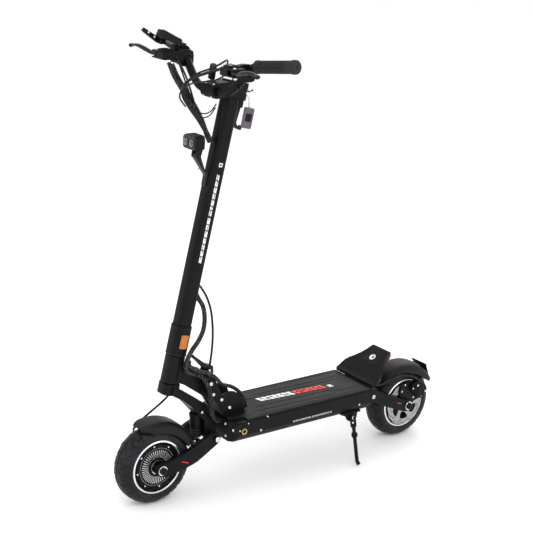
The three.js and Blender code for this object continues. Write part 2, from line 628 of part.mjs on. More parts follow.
// Stiff wire loop under the left lever that carries the key ring.
function keyHanger() {
  const line = [
    [REAR_AXLE_X + 770, 131, 1190], [REAR_AXLE_X + 762, 119, 1170], [REAR_AXLE_X + 740, 113, 1146],
    [KEY_X, 113, KEY_Z + 5], [KEY_X - 12, 113, KEY_Z + 9],
  ];
  return tube(line, 2, 6, 14);
}

function cockpitParts() {
  add("handlebar", handlebar(), SATIN_ALLOY, steering);
  add("bar_clamp", barClamp(), BLACK_PAINT, steering);
  add("folding_hook", foldingHook(), SATIN_ALLOY, steering);
  add("grip_left", grip(1), RUBBER, steering);
  add("grip_right", grip(-1), RUBBER, steering);
  add("lever_perch_left", join(leverPerch(1), keyHanger()), BLACK_PLASTIC);
  add("lever_perch_right", leverPerch(-1), BLACK_PLASTIC);
  add("brake_lever_left", brakeLever(1), SATIN_ALLOY);
  add("brake_lever_right", brakeLever(-1), SATIN_ALLOY);
  add("display_pod", displayPod(), BLACK_PLASTIC);
  add("mode_button", onPod(bar([-24, -14, 7.5], [-24, -14, 13], BUTTON_R)), BLACK_PLASTIC);
  add("throttle_paddle", throttlePaddle(), BLACK_PLASTIC);
  add("key_tags", keyTags(), CARD);
}

// ---------------------------------------------------------------- cables
const LOOM_RIGHT = [
  [786, -126, 1176], [774, -118, 1146], [760, -88, 1104], [752, -50, 1064], [749, -22, 1030],
  [746, -9, 1004], [738, -8, 988],
];
const LOOM_LEFT = [
  [780, 124, 1196], [762, 108, 1206], [752, 84, 1198], [760, 50, 1186], [776, 16, 1172], [789, -24, 1154],
  [794, -52, 1132], [790, -64, 1106], [778, -52, 1076], [766, -26, 1046], [758, -2, 1018], [748, 8, 1000],
  [738, 8, 990],
];
const STEM_LOOM = [
  [764, 0, 560], [748, 3, 540], [744, 8, 505], [754, 17, 475], [776, 28, 452], [799, 34, 432], [812, 35, 411],
];
const NECK_LOOM = [
  [814, 35, 405], [818, 35, 390], [814, 35, 375], [800, 35, 366], [780, 37, 358], [765, 44, 347], [756, 49, 330],
  [746, 50, 302], [742, 50, 270], [738, 49, 244], [726, 43, 223], [711, 38, 210], [698.2, 36, 206],
];
const BRAKE_HOSE = [
  [806, -34, 300], [838, -40, 268], [882, -46, 236], [908, -52, 214], [926, -53, 194],
];

function cableParts() {
  const route = (points) => points.map(fromRear3);
  add("loom_right", tube(route(LOOM_RIGHT), 6, 8, 24), BRAID);
  add("loom_left", tube(route(LOOM_LEFT), 4, 8, 36), RUBBER);
  add("stem_loom", tube(route(STEM_LOOM), 6, 8, 22), BRAID);
  add("neck_loom", tube(route(NECK_LOOM), 6, 8, 34), BRAID);
  add("front_brake_hose", tube(route(BRAKE_HOSE), 3, 8, 16), RUBBER);
}

// ---------------------------------------------------------------- wheels and suspension
function tyre() {
  const half = [
    [TYRE_R, TREAD_HALF], [108.4, 20], [103, 28.5], [94, TYRE_HALF - 1], [84, TYRE_HALF], [BEAD_R, 30],
  ];
  const profile = [...half, ...half.map(([r, y]) => [r, -y]).reverse(), half[0]];
  const ring = turned(profile, TYRE_SIDES);
  return ring.rotateY(Math.PI / TYRE_SIDES);
}

// Rim and motor shell in one casting; discSide is +1 or -1 for the side that carries the disc.
function rim(discSide) {
  const bore = AXLE_R + RUN;
  const inner = BEAD_R - GAP;
  const profile = [
    [bore, -MOTOR_HALF], [MOTOR_R, -MOTOR_HALF], [70.5, -RIM_HALF], [inner, -RIM_HALF], [inner, RIM_HALF],
    [70.5, RIM_HALF], [MOTOR_R, MOTOR_HALF], [24, MOTOR_HALF], [24, DISC_Y - GAP], [bore, DISC_Y - GAP],
    [bore, -MOTOR_HALF],
  ];
  const body = turned(profile, 32);
  return discSide > 0 ? body : body.rotateX(Math.PI);
}

// Domed outer cover of the motor, on the side away from the disc.
function motorCover(side) {
  const profile = [
    [16, MOTOR_HALF + GAP], [MOTOR_R - 1, MOTOR_HALF + GAP], [MOTOR_R - 1, 26], [58, 29], [20, 31], [16, 31],
    [16, MOTOR_HALF + GAP],
  ];
  const cover = turned(profile, 24);
  return side > 0 ? cover : cover.rotateX(Math.PI);
}

function arcPoints(radius, from, to, count) {
  return Array.from({ length: count + 1 }, (_, i) => {
    const angle = from + (to - from) * (i / count);
    return new THREE.Vector2(radius * Math.cos(angle), radius * Math.sin(angle));
  });
}

// Ventilated disc: a braking ring on six spokes round a hub.
function brakeDisc() {
  const ring = new THREE.Shape();
  ring.absarc(0, 0, DISC_R, 0, Math.PI * 2, false);
  const centre = new THREE.Path();
  centre.absarc(0, 0, 9, 0, Math.PI * 2, true);
  ring.holes.push(centre);
  const spokes = 6;
  for (let i = 0; i < spokes; i += 1) {
    const from = (i + 0.14) * (2 * Math.PI / spokes);
    const to = (i + 0.86) * (2 * Math.PI / spokes);
    const rim = arcPoints(51, from, to, 4);
    const hub = arcPoints(27, to, from, 3);
    ring.holes.push(new THREE.Path([...rim, ...hub]));
  }
  return across(ring, 0, DISC_THICK, 16);
}

function axle() {
  const shaft = bar([0, -ARM_OUT - 7, 0], [0, ARM_OUT + 7, 0], AXLE_R, 16);
  const nut = (side) => {
    const from = side * (ARM_OUT + GAP);
    return bar([0, from, 0], [0, from + side * 6, 0], 10.5, 6);
  };
  return join(shaft, nut(1), nut(-1));
}

// Swing arm side view from the pivot to the axle, with the bores cut.
function armBlades(points, pivot, axleX) {
  const blade = outline(points);
  const hub = [axleX, AXLE_Z];
  const bored = (yMin, yMax) => cut(
    across(blade, yMin, yMax),
    pin(pivot, yMin - 1, yMax + 1, ARM_PIN_R + RUN),
    pin(hub, yMin - 1, yMax + 1, AXLE_R + GAP, 16),
  );
  return [bored(ARM_IN, ARM_OUT), bored(-ARM_OUT, -ARM_IN)];
}

function frontArm() {
  const points = [
    [706, 158, 12], [716, 184, 14], [740, 184, 14], [792, 157, 10], [842, 140, 14], [884, 131, 12],
    [914, 124, 14], [914, 97, 14], [880, 88, 12], [812, 103, 12], [786, 110, 14], [722, 147, 14],
  ].map(fromRear);
  const bridge = across(outline([
    [752, 136, 5], [772, 126, 5], [780, 136, 5], [766, 146, 5],
  ].map(fromRear)), -ARM_IN - 1, ARM_IN + 1);
  const lugs = across(outline([
    [743, 138, 6], [752, 132, 6], [766, 130, 4], [766, 150, 4], [746, 155, 7],
  ].map(fromRear)), -16, 16);
  const rodSlot = box(FRONT_EYE[0] - 20, FRONT_EYE[0] + 11, -9.6, 9.6, 110, 170);
  const eyeBore = pin([FRONT_EYE[0], FRONT_EYE[2]], -20, 20, SHOCK_BOLT_R);
  return join(...armBlades(points, FRONT_PIVOT, FRONT_AXLE_X), cut(join(bridge, lugs), rodSlot, eyeBore));
}

// Shock parts stand along local Z on the lower eye and lean towards the upper one.
function layShock(geometry, lower, upper) {
  const lean = Math.atan2(upper[0] - lower[0], upper[2] - lower[2]);
  return geometry.rotateX(Math.PI / 2).rotateY(lean).translate(...lower);
}

// Outer sleeve with its top lug; the lug's bore runs on the upper bolt.
function shockBody(length, radius, lugHalf, start) {
  const sleeve = turned([
    [7, start], [radius, start], [radius, length - 24], [radius + 1.5, length - 22], [radius + 1.5, length - 14],
    [radius - 4, length - 11], [0, length - 11], [0, length - 20], [7, length - 20], [7, start],
  ], 20);
  const lug = box(-8, 8, length - 12, length + 8, -lugHalf, lugHalf);
  const bore = bar([0, length, -20], [0, length, 20], SHOCK_BOLT_R + RUN, 16);
  return cut(join(sleeve, lug), bore);
}

function shockRod(length, lugHalf, seatR) {
  const rod = bar([0, 7, 0], [0, length - 32, 0], 6, 16);
  const seat = turned([[0, 12], [seatR - 2, 12], [seatR, 14], [seatR, 17], [0, 17]], 20);
  const lug = box(-7, 7, -8, 13, -lugHalf, lugHalf);
  const bore = bar([0, 0, -20], [0, 0, 20], 6.5, 16);
  return cut(join(rod, seat, lug), bore);
}

// Ribbed sleeve over the coil, between the lower seat and the body.
function springSleeve(from, to, radius) {
  const ribs = 3;
  const profile = [[6.6, from], [radius - 3, from]];
  const pitch = (to - from) / ribs;
  for (let i = 0; i < ribs; i += 1) {
    profile.push([radius, from + (i + 0.35) * pitch], [radius, from + (i + 0.65) * pitch]);
    if (i < ribs - 1) profile.push([radius - 3, from + (i + 1) * pitch]);
  }
  profile.push([radius - 3, to], [6.6, to], [6.6, from]);
  return turned(profile, 14);
}

// Arched guard over a wheel: a top skin and two side skirts, open below. The skirts' lower edge
// follows [degrees, radius] points round the axle.
function fender(axleX, edge, outerR) {
  const inner = outerR - 4;
  const startDeg = edge[0][0];
  const endDeg = edge[edge.length - 1][0];
  const toXZ = (r, degrees) => {
    const angle = THREE.MathUtils.degToRad(degrees);
    return [axleX + r * Math.cos(angle), AXLE_Z + r * Math.sin(angle)];
  };
  const count = 10;
  const arc = (radius, extra = 0) => Array.from(
    { length: count + 1 + 2 * extra },
    (_, i) => toXZ(radius, startDeg + (endDeg - startDeg) * ((i - extra) / count)),
  );
  const band = (outer, low) => outline([...arc(outer), ...low.reverse()]);
  const skin = band(outerR, arc(inner));
  const skirt = band(outerR - 8, edge.map(([degrees, r]) => toXZ(r, degrees)));
  const slope = band(outerR - 1, arc(inner - 6));
  const top = across(skin, -34, 34);
  const side = (y) => across(skirt, y, y + 3);
  const shoulder = (y) => across(slope, y, y + 10.5);
  const cutter = across(outline([...arc(inner - 3, 1), toXZ(0, startDeg)]), -38.6, 38.6);
  const shell = join(top, shoulder(30.5), shoulder(-41), side(40.7), side(-43.7));
  return cut(shell, cutter);
}

// The front guard narrows to a beak over the front of the tyre.
function frontFender() {
  const guard = fender(FRONT_AXLE_X, [[66, 119], [82, 106], [99, 100.5], [120, 99], [144, 99], [162, 108]], 130);
  const plan = outline([
    [740, -50], [905, -50], [948, -17, 8], [952, 0], [948, 17, 8], [905, 50], [740, 50],
  ].map(fromRear));
  return common(guard, upward(plan, 80, 260));
}

function rearFender() {
  const guard = fender(REAR_AXLE_X, [[34, 119], [57, 119], [76, 111], [100, 99], [135, 99], [148, 109]], 130);
  const plate = across(outline([
    [-85, 224, 2], [-82, 226, 2], [-104, 173, 2], [-107, 172, 2],
  ].map(fromRear)), -32, 32);
  const arm = across(outline([[-88, 186], [-102, 192], [-112, 176], [-96, 166]].map(fromRear)), -12, 12);
  return join(guard, plate, arm);
}

// Caliper body outboard of the disc with its bracket to the axle.
function caliper(axleX, side, angleDeg) {
  const body = across(outline([
    [-30, 42, 8], [30, 42, 8], [34, 60, 8], [24, 80, 10], [-22, 82, 10], [-34, 62, 8],
  ]), 0, 24);
  const bracket = across(outline([[-14, -12, 10], [14, -12, 10], [22, 46, 6], [-22, 46, 6]]), 0, 5);
  const hub = bar([0, -3, 0], [0, 30, 0], AXLE_R + GAP, 16);
  const whole = cut(join(body.translate(0, 0.5, 0), bracket), hub);
  const turn = THREE.MathUtils.degToRad(90 - angleDeg);
  whole.rotateY(turn).translate(axleX, CALIPER_Y, AXLE_Z);
  return side > 0 ? whole : mirrorY(whole);
}

function wheelParts(name, axleX, discSide) {
  const place = (mesh) => mesh.position.set(axleX, 0, AXLE_Z);
  place(add(`${name}_tyre`, tyre(), TYRE));
  place(add(`${name}_rim`, rim(discSide), SILVER));
  const disc = add(`${name}_brake_disc`, brakeDisc(), STEEL);
  disc.position.set(axleX, discSide > 0 ? DISC_Y : -DISC_Y - DISC_THICK, AXLE_Z);
  place(add(`${name}_axle`, axle(), STEEL));
}

function rearSuspension() {
  add("rear_arm", rearArm(), BLACK_PAINT);
  add("rear_fender", rearFender(), BLACK_PLASTIC);
  const length = Math.hypot(REAR_SHOCK_TOP[0] - REAR_EYE[0], REAR_SHOCK_TOP[2] - REAR_EYE[2]);
  add("rear_shock_body", layShock(shockBody(length, 12.5, 8, 24), REAR_EYE, REAR_SHOCK_TOP), SATIN_ALLOY);
  add("rear_shock_rod", layShock(shockRod(length, 8, 11), REAR_EYE, REAR_SHOCK_TOP), STEEL);
}

function frontSuspension() {
  add("front_arm", frontArm(), BLACK_PAINT);
  add("front_fender", frontFender(), BLACK_PLASTIC);
  add("front_motor_cover", motorCover(1), BLACK_PAINT).position.set(FRONT_AXLE_X, 0, AXLE_Z);
  const length = Math.hypot(SHOCK_TOP[0] - FRONT_EYE[0], SHOCK_TOP[2] - FRONT_EYE[2]);
  add("front_shock_body", layShock(shockBody(length, 17, 8.5, 44), FRONT_EYE, SHOCK_TOP), SATIN_ALLOY);
  add("front_shock_rod", layShock(shockRod(length, 9, 15), FRONT_EYE, SHOCK_TOP), STEEL);
  add("front_shock_sleeve", layShock(springSleeve(17.4, 43.5, 16), FRONT_EYE, SHOCK_TOP), RUBBER);
}

function rearArm() {
  const points = [
    [176, 168, 12], [172, 194, 12], [146, 192, 12], [110, 176, 12], [20, 134, 10], [-18, 126, 14],
    [-18, 97, 14], [14, 93, 12], [112, 134, 14], [150, 154, 12],
  ].map(fromRear);
  const beam = across(outline([
    [117, 171, 4], [117, 184, 3], [134, 184, 3], [134, 171, 3],
  ].map(fromRear)), -ARM_IN - 1, ARM_IN + 1);
  const lugs = across(outline([[118, 180], [120, 206, 6], [137, 206, 6], [133, 180]].map(fromRear)), -15, 15);
  const rodSlot = box(REAR_EYE[0] - 30, REAR_EYE[0] + 30, -9.2, 9.2, 184, 230);
  const eyeBore = pin([REAR_EYE[0], REAR_EYE[2]], -20, 20, SHOCK_BOLT_R);
  return join(...armBlades(points, REAR_PIVOT, REAR_AXLE_X), cut(join(beam, lugs), rodSlot, eyeBore));
}

// ---------------------------------------------------------------- assembly
deckParts();
add("kickstand_leg", kickstandLeg(), SATIN_ALLOY, kickstand);
neckParts();
steeringParts();
cockpitParts();
cableParts();
wheelParts("front", FRONT_AXLE_X, -1);
wheelParts("rear", REAR_AXLE_X, 1);
frontSuspension();
add("front_caliper", caliper(FRONT_AXLE_X, -1, 52), BLACK_PAINT);
add("rear_caliper", caliper(REAR_AXLE_X, 1, 132), BLACK_PAINT);
rearSuspension();

export default machine;
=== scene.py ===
"""Looks of an electric kick scooter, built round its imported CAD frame.

Lengths in the builders are millimetres; at() and steer() turn them into metres in the model's frame.
"""
import json
import math

import bmesh
import bpy
import numpy as np
from mathutils import Matrix, Vector


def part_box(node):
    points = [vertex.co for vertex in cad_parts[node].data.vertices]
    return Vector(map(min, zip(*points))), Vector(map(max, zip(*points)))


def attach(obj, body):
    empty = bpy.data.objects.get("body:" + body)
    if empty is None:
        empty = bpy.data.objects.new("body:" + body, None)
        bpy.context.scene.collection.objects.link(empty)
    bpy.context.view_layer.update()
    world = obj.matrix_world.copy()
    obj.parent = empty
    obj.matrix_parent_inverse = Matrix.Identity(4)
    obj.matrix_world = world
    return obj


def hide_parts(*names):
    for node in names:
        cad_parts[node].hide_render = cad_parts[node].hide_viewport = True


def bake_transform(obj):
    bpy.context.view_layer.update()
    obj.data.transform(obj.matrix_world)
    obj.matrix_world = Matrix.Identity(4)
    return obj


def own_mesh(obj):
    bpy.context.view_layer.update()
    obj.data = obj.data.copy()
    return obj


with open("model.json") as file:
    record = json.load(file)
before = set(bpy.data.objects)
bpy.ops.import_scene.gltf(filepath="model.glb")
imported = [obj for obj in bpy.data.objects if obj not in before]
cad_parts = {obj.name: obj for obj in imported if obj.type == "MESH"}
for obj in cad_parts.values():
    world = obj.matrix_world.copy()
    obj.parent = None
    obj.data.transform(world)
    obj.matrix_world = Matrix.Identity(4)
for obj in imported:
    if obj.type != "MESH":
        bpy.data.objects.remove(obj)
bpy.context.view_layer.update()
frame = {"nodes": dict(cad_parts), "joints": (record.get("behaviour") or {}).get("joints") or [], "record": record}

MM = 0.001
JOINTS = {j["name"]: j for j in frame["joints"]}
REAR_AXLE = Vector(JOINTS["rear_roll"]["pos_m"])
FRONT_AXLE = Vector(JOINTS["front_roll"]["pos_m"])
TYRE_R = REAR_AXLE.z / MM
STEER_AXIS = Vector(JOINTS["steer"]["axis"]).normalized()
STEER_AHEAD = Vector((STEER_AXIS.z, 0, -STEER_AXIS.x))
STEER_POINT = Vector(JOINTS["steer"]["pos_m"])
STEER_FOOT = STEER_POINT - STEER_AXIS * (STEER_POINT.z / STEER_AXIS.z)


def at(x, y, z):
    """A point x ahead of the rear axle, y to the left and z above the ground."""
    return Vector((REAR_AXLE.x + x * MM, y * MM, z * MM))


def steer(u, y, s):
    """A point u ahead of the steering axis and s up along it."""
    return STEER_FOOT + STEER_AHEAD * (u * MM) + Vector((0, y * MM, 0)) + STEER_AXIS * (s * MM)


def steer_point(x, z):
    """The steering frame's (u, s) of a point at rear-axle x and height z."""
    offset = (at(x, 0, z) - STEER_FOOT) / MM
    return offset.dot(STEER_AHEAD), offset.dot(STEER_AXIS)


# ---------------------------------------------------------------- camera
CAMERA_PLACE = at(2626.1, 2743.5, 1664.2)
CAMERA_RIGHT = Vector((-0.80351, 0.59328, 0.04897))
CAMERA_UP = Vector((-0.13443, -0.26097, 0.95594))
CAMERA_AHEAD = Vector((-0.57992, -0.76152, -0.28944))

camera_data = bpy.data.cameras.new("camera")
camera_data.sensor_width = 36
camera_data.lens = 87.6
camera = bpy.data.objects.new("camera", camera_data)
camera.matrix_world = Matrix.Translation(CAMERA_PLACE) @ Matrix(
    [[CAMERA_RIGHT[i], CAMERA_UP[i], -CAMERA_AHEAD[i]] for i in range(3)]
).to_4x4()
bpy.context.scene.collection.objects.link(camera)
bpy.context.scene.camera = camera


class Look:
    """A new material, and short ways to build its node tree."""

    def __init__(self, name, slot=None):
        self.material = bpy.data.materials.new(name)
        self.material.use_nodes = True
        self.nodes, self.links = self.material.node_tree.nodes, self.material.node_tree.links

    def feed(self, node, **inputs):
        """Gives each named input of a node a value, or a link where the value is another node's output."""
        for key, value in inputs.items():
            socket = node.inputs[key.replace("_", " ")]
            if isinstance(value, bpy.types.NodeSocket):
                self.links.new(value, socket)
            else:
                socket.default_value = value
        return node

    def add(self, kind, **inputs):
        return self.feed(self.nodes.new("ShaderNode" + kind), **inputs)

    def shade(self, **inputs):
        self.feed(self.nodes["Principled BSDF"], **inputs)

    def ramp(self, source, low, high, colours):
        node = self.add("ValToRGB", Fac=source)
        for element, place, colour in zip(node.color_ramp.elements, (low, high), colours):
            element.position = place
            element.color = (*colour, 1)
        return node.outputs["Color"]

    def spread(self, source, low, high):
        return self.add("MapRange", Value=source, To_Min=low, To_Max=high).outputs["Result"]

    def noise(self, scale, detail=4, stretch=(1, 1, 1)):
        place = self.add("TexCoord").outputs["Object"]
        vector = self.add("Mapping", Scale=stretch, Vector=place).outputs["Vector"]
        return self.add("TexNoise", Scale=scale, Detail=detail, Vector=vector).outputs["Fac"]

    def cells(self, **inputs):
        place = self.add("TexCoord").outputs["Object"]
        return self.add("TexVoronoi", Vector=place, **inputs).outputs["Distance"]

    def bump(self, height, strength, distance):
        node = self.add("Bump", Height=height, Strength=strength, Distance=distance)
        self.shade(Normal=node.outputs["Normal"])


def coated(name, slot, base, rough, grain, depth, wear=0.0, spec=0.5, metallic=0.0, tone=1.35):
    """A coated, moulded or cast surface: cloudy tone, fine grain and, with wear, paler edges."""
    look = Look(name, slot)
    cloud = look.noise(14, 5)
    colour = look.ramp(cloud, 0.35, 0.7, (base, [min(1, c * tone + 0.0008) for c in base]))
    if wear:
        edge = look.add("NewGeometry").outputs["Pointiness"]
        amount = look.ramp(edge, 0.53, 0.6, ((0, 0, 0), (wear, wear, wear)))
        mix = look.nodes.new("ShaderNodeMix")
        mix.data_type = "RGBA"
        worn = (*[min(1, c * 3 + 0.06) for c in base], 1)
        colour = look.feed(mix, Factor=amount, A=colour, B=worn).outputs["Result"]
    look.shade(Base_Color=colour, Roughness=look.spread(cloud, *rough), Metallic=metallic)
    look.shade(Specular_IOR_Level=spec)
    look.bump(look.noise(grain, 2), 0.5, depth)
    return look.material


def metal(name, slot, base, rough, stretch=(1, 40, 1), grain=60):
    """Turned or brushed bare metal with fine lines along one direction."""
    look = Look(name, slot)
    lines = look.noise(grain, 6, stretch)
    colour = look.ramp(look.noise(20, 3), 0.3, 0.7, ([c * 0.82 for c in base], base))
    look.shade(Base_Color=colour, Roughness=look.spread(lines, *rough), Metallic=1)
    look.bump(lines, 0.35, 0.00004)
    return look.material


def pebbled(name, slot, base, rough, scale, depth, dust):
    """Rubber with a fine pebble texture and a trace of dust."""
    look = Look(name, slot)
    cloud = look.noise(18, 6)
    colour = look.ramp(cloud, 0.42, 0.72, (base, [a + b for a, b in zip(base, dust)]))
    look.shade(Base_Color=colour, Roughness=look.spread(cloud, *rough), Specular_IOR_Level=0.15)
    look.bump(look.cells(Scale=scale), 0.6, depth)
    return look.material


def woven(name, slot, base, thread, scale):
    """Dark braided sleeve with pale threads showing in a regular scatter."""
    look = Look(name, slot)
    spots = look.cells(Scale=scale, Randomness=0.35)
    colour = look.ramp(spots, 0.24, 0.32, (thread, base))
    look.shade(Base_Color=colour, Roughness=look.spread(spots, 0.35, 0.6), Specular_IOR_Level=0.2)
    look.bump(spots, 0.5, 0.0004)
    return look.material


def plastic_lens(name, slot, base, rough, coat):
    """Coloured or clear moulded lens with prism rows behind a glossy face."""
    look = Look(name, slot)
    rows = look.noise(500, 1, (1, 1, 0.3))
    look.shade(Base_Color=look.ramp(rows, 0.35, 0.65, ([c * 0.7 for c in base], base)), Roughness=rough)
    look.shade(Coat_Weight=coat, Coat_Roughness=0.05)
    look.bump(rows, 0.5, 0.0003)
    return look.material


# Coated: name, slot, linear colour, roughness range, grain scale, bump depth in metres, edge wear, specular.
ALLOY, PLASTIC, EVEN = "black_coated_alloy", "black_plastic", (1, 1, 1)
BLACK_COAT = coated("black_coat", ALLOY, (0.0028, 0.0028, 0.0036), (0.32, 0.46), 1100, 0.0001, 0.08, 0.1)
FRAME_COAT = coated("frame_coat", ALLOY, (0.0032, 0.0033, 0.0044), (0.34, 0.48), 1500, 0.00014, 0.06, 0.1)
ANODISED = coated("anodised", ALLOY, (0.0065, 0.0065, 0.008), (0.26, 0.4), 2200, 0.00005, 0.1, 0.2, 0.2)
MOULDED = coated("moulded", PLASTIC, (0.004, 0.004, 0.0048), (0.38, 0.52), 1400, 0.00012, 0.04, 0.12)
GUARD_PLASTIC = coated(
    "guard_plastic", PLASTIC, (0.0056, 0.0057, 0.0068), (0.36, 0.5), 900, 0.00016, 0.05, 0.16)
GLOSS_BLACK = coated("gloss_black", PLASTIC, (0.005, 0.005, 0.006), (0.08, 0.16), 300, 0.00001, 0, 0.45)
HOSE_RUBBER = coated(
    "hose_rubber", "cable_jacket", (0.0045, 0.0045, 0.005), (0.28, 0.4), 800, 0.00006, 0, 0.22)
RED_PAINT = coated("red_mark", "red_plastic", (0.58, 0.016, 0.012), (0.35, 0.5), 900, 0.00008)
WHITE_PAINT = coated("white_mark", "bare_alloy", (0.66, 0.66, 0.66), (0.4, 0.55), 900, 0.00008)
GREY_PAINT = coated("grey_mark", "bare_alloy", (0.34, 0.34, 0.35), (0.4, 0.55), 900, 0.00008)
CARD_FACE = coated(
    "card_face", "card_plastic", (0.06, 0.048, 0.06), (0.25, 0.4), 500, 0.00003, spec=0.4, tone=1.5)
SILVER = metal("bright_alloy", "bare_alloy", (0.86, 0.86, 0.86), (0.16, 0.3))
FIN_ALLOY = metal("fin_alloy", "bare_alloy", (0.9, 0.88, 0.85), (0.3, 0.42))
SCREW_STEEL = metal("screw_steel", "steel", (0.72, 0.71, 0.69), (0.2, 0.34), EVEN, 300)
DISC_STEEL = metal("disc_steel", "steel", (0.36, 0.35, 0.34), (0.24, 0.4), EVEN, 180)
BRASS = metal("brass", "steel", (0.72, 0.5, 0.2), (0.25, 0.4), EVEN, 200)
TYRE_RUBBER = pebbled(
    "tyre_rubber", "tyre", (0.0085, 0.009, 0.0105), (0.32, 0.48), 700, 0.0001, (0.012, 0.0128, 0.016))
GRIP_RUBBER = pebbled(
    "grip_rubber", "black_rubber", (0.016, 0.016, 0.017), (0.5, 0.7), 1200, 0.00012, (0.01, 0.01, 0.01))
MAT_RUBBER = pebbled(
    "mat_rubber", "black_rubber", (0.0028, 0.0028, 0.0034), (0.4, 0.56), 1500, 0.00014,
    (0.0012, 0.0012, 0.0012))
BRAID = woven("braid", "braided_sleeve", (0.004, 0.004, 0.005), (0.14, 0.14, 0.15), 300)
RED_LENS = plastic_lens("red_lens", "red_plastic", (0.42, 0.01, 0.01), 0.18, 1.0)
ORANGE_LENS = plastic_lens("orange_lens", "orange_plastic", (0.52, 0.14, 0.001), 0.3, 0.12)
LAMP_LENS = plastic_lens("lamp_lens", PLASTIC, (0.035, 0.037, 0.042), 0.08, 1.0)


# ---------------------------------------------------------------- mesh builders
# Welding distances in metres, and the most of an edge that one rounded corner may take.
WELD, CAD_WELD = 2e-6, 2e-5
CORNER_SHARE = 0.48
LEFT, RIGHT, UP = Vector((0, 1, 0)), Vector((0, -1, 0)), Vector((0, 0, 1))
SIDES = ((1, "left"), (-1, "right"))


def piece(name, verts, faces, material, body, replaces=(), **looks):
    """A named piece from vertices and faces."""
    mesh = bpy.data.meshes.new(name)
    mesh.from_pydata([tuple(v) for v in verts], [], [tuple(f) for f in faces])
    return dress(name, mesh, material, body, replaces, **looks)


def dress(name, mesh, material, body, replaces=(), bevel=0.0, sharp=38, subdivide=0, segments=2):
    """A mesh as a piece riding on a body: welded, shaded smooth between sharp creases, its edges bevelled."""
    work = bmesh.new()
    work.from_mesh(mesh)
    bmesh.ops.remove_doubles(work, verts=work.verts, dist=WELD)
    bmesh.ops.dissolve_degenerate(work, edges=work.edges, dist=1e-6)
    bmesh.ops.recalc_face_normals(work, faces=work.faces)
    limit = math.radians(sharp)
    for face in work.faces:
        face.smooth = True
    for edge in work.edges:
        edge.smooth = not (len(edge.link_faces) == 2 and edge.calc_face_angle(0) > limit)
    work.to_mesh(mesh)
    work.free()
    mesh.materials.clear()
    mesh.materials.append(material)
    thing = bpy.data.objects.new(name, mesh)
    bpy.context.scene.collection.objects.link(thing)
    if bevel:
        soften(thing, bevel, 30, segments)
    if subdivide:
        modifier = thing.modifiers.new("smooth", "SUBSURF")
        modifier.levels = modifier.render_levels = subdivide
    if body:
        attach(thing, body)
    if replaces:
        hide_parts(*([replaces] if isinstance(replaces, str) else replaces))
    return thing


def soften(thing, width, angle, segments=1):
    """Bevels the edges of a piece that turn more than angle degrees."""
    modifier = thing.modifiers.new("edges", "BEVEL")
    modifier.width = width * MM
    modifier.segments = segments
    modifier.limit_method = "ANGLE"
    modifier.angle_limit = math.radians(angle)
    modifier.harden_normals = True
    modifier.use_clamp_overlap = True


def refined(node, material, bevel, sharp=34):
    """A CAD node's own shape, welded, cleaned of coplanar seams and given soft edges."""
    mesh = bpy.data.meshes.new(node + "_shape")
    work = bmesh.new()
    work.from_mesh(frame["nodes"][node].data)
    bmesh.ops.remove_doubles(work, verts=work.verts, dist=CAD_WELD)
    bmesh.ops.dissolve_limit(work, angle_limit=math.radians(4), verts=work.verts, edges=work.edges)
    work.to_mesh(mesh)
    work.free()
    body = next(b for b, members in frame["record"]["behaviour"]["bodies"].items() if node in members)
    return dress(node + "_shape", mesh, material, body, node, bevel, sharp)


def grid_faces(rows, columns, wrap_rows=False, wrap_columns=False):
    """Four-sided faces over a grid of vertices listed row by row."""
    faces = []
    for i in range(rows if wrap_rows else rows - 1):
        for j in range(columns if wrap_columns else columns - 1):
            a, b = i * columns + j, i * columns + (j + 1) % columns
            c, d = (i + 1) % rows * columns + (j + 1) % columns, (i + 1) % rows * columns + j
            faces.append((a, b, c, d))
    return faces


def rounded(points, radius, steps=5):
    """A closed outline with its corners rounded."""
    line = []
    count = len(points)
    for i, point in enumerate(points):
        here = Vector(point)
        back = Vector(points[i - 1]) - here
        ahead = Vector(points[(i + 1) % count]) - here
        r = min(radius, back.length * CORNER_SHARE, ahead.length * CORNER_SHARE)
        start, end = here + back.normalized() * r, here + ahead.normalized() * r
        for k in range(steps + 1):
            t = k / steps
            line.append(start * (1 - t) ** 2 + here * 2 * t * (1 - t) + end * t * t)
    return line


def between(a0, b0, a1, b1, corner, steps=5):
    """A rounded rectangle between two opposite corners."""
    return rounded([(a0, b0), (a1, b0), (a1, b1), (a0, b1)], corner, steps)


def rectangle(half_a, half_b, corner, steps=6):
    """A rounded rectangle about the middle of its frame."""
    return between(-half_a, -half_b, half_a, half_b, corner, steps)


def extruded(outline, low, high, place):
    """Vertices and faces of an outline between two heights, in either order.

    place(a, b, h) says where a point of the outline lies at a height.
    """
    count = len(outline)
    verts = [place(p[0], p[1], h) for h in (low, high) for p in outline]
    faces = [(i, (i + 1) % count, count + (i + 1) % count, count + i) for i in range(count)]
    return verts, [*faces, tuple(range(count - 1, -1, -1)), tuple(range(count, 2 * count))]


def prism(name, outline, low, high, place, material, body, **looks):
    """One extruded outline as a piece."""
    return piece(name, *extruded(outline, low, high, place), material, body, **looks)


def side_view(a, b, h):
    """For outlines drawn from the left, in x and z, and extruded across the machine."""
    return at(a, h, b)


def steer_side(a, b, h):
    """The same in the steering frame."""
    return steer(a, h, b)


def revolve(profile, centre, axis, segments=64):
    """Vertices and faces of a profile of (radius, height) points turned about an axis through centre."""
    axis = Vector(axis).normalized()
    first = axis.orthogonal().normalized()
    second = axis.cross(first)
    verts = []
    for k in range(segments):
        angle = 2 * math.pi * k / segments
        out = first * math.cos(angle) + second * math.sin(angle)
        verts += [centre + out * (r * MM) + axis * (h * MM) for r, h in profile]
    return verts, grid_faces(segments, len(profile), wrap_rows=True)


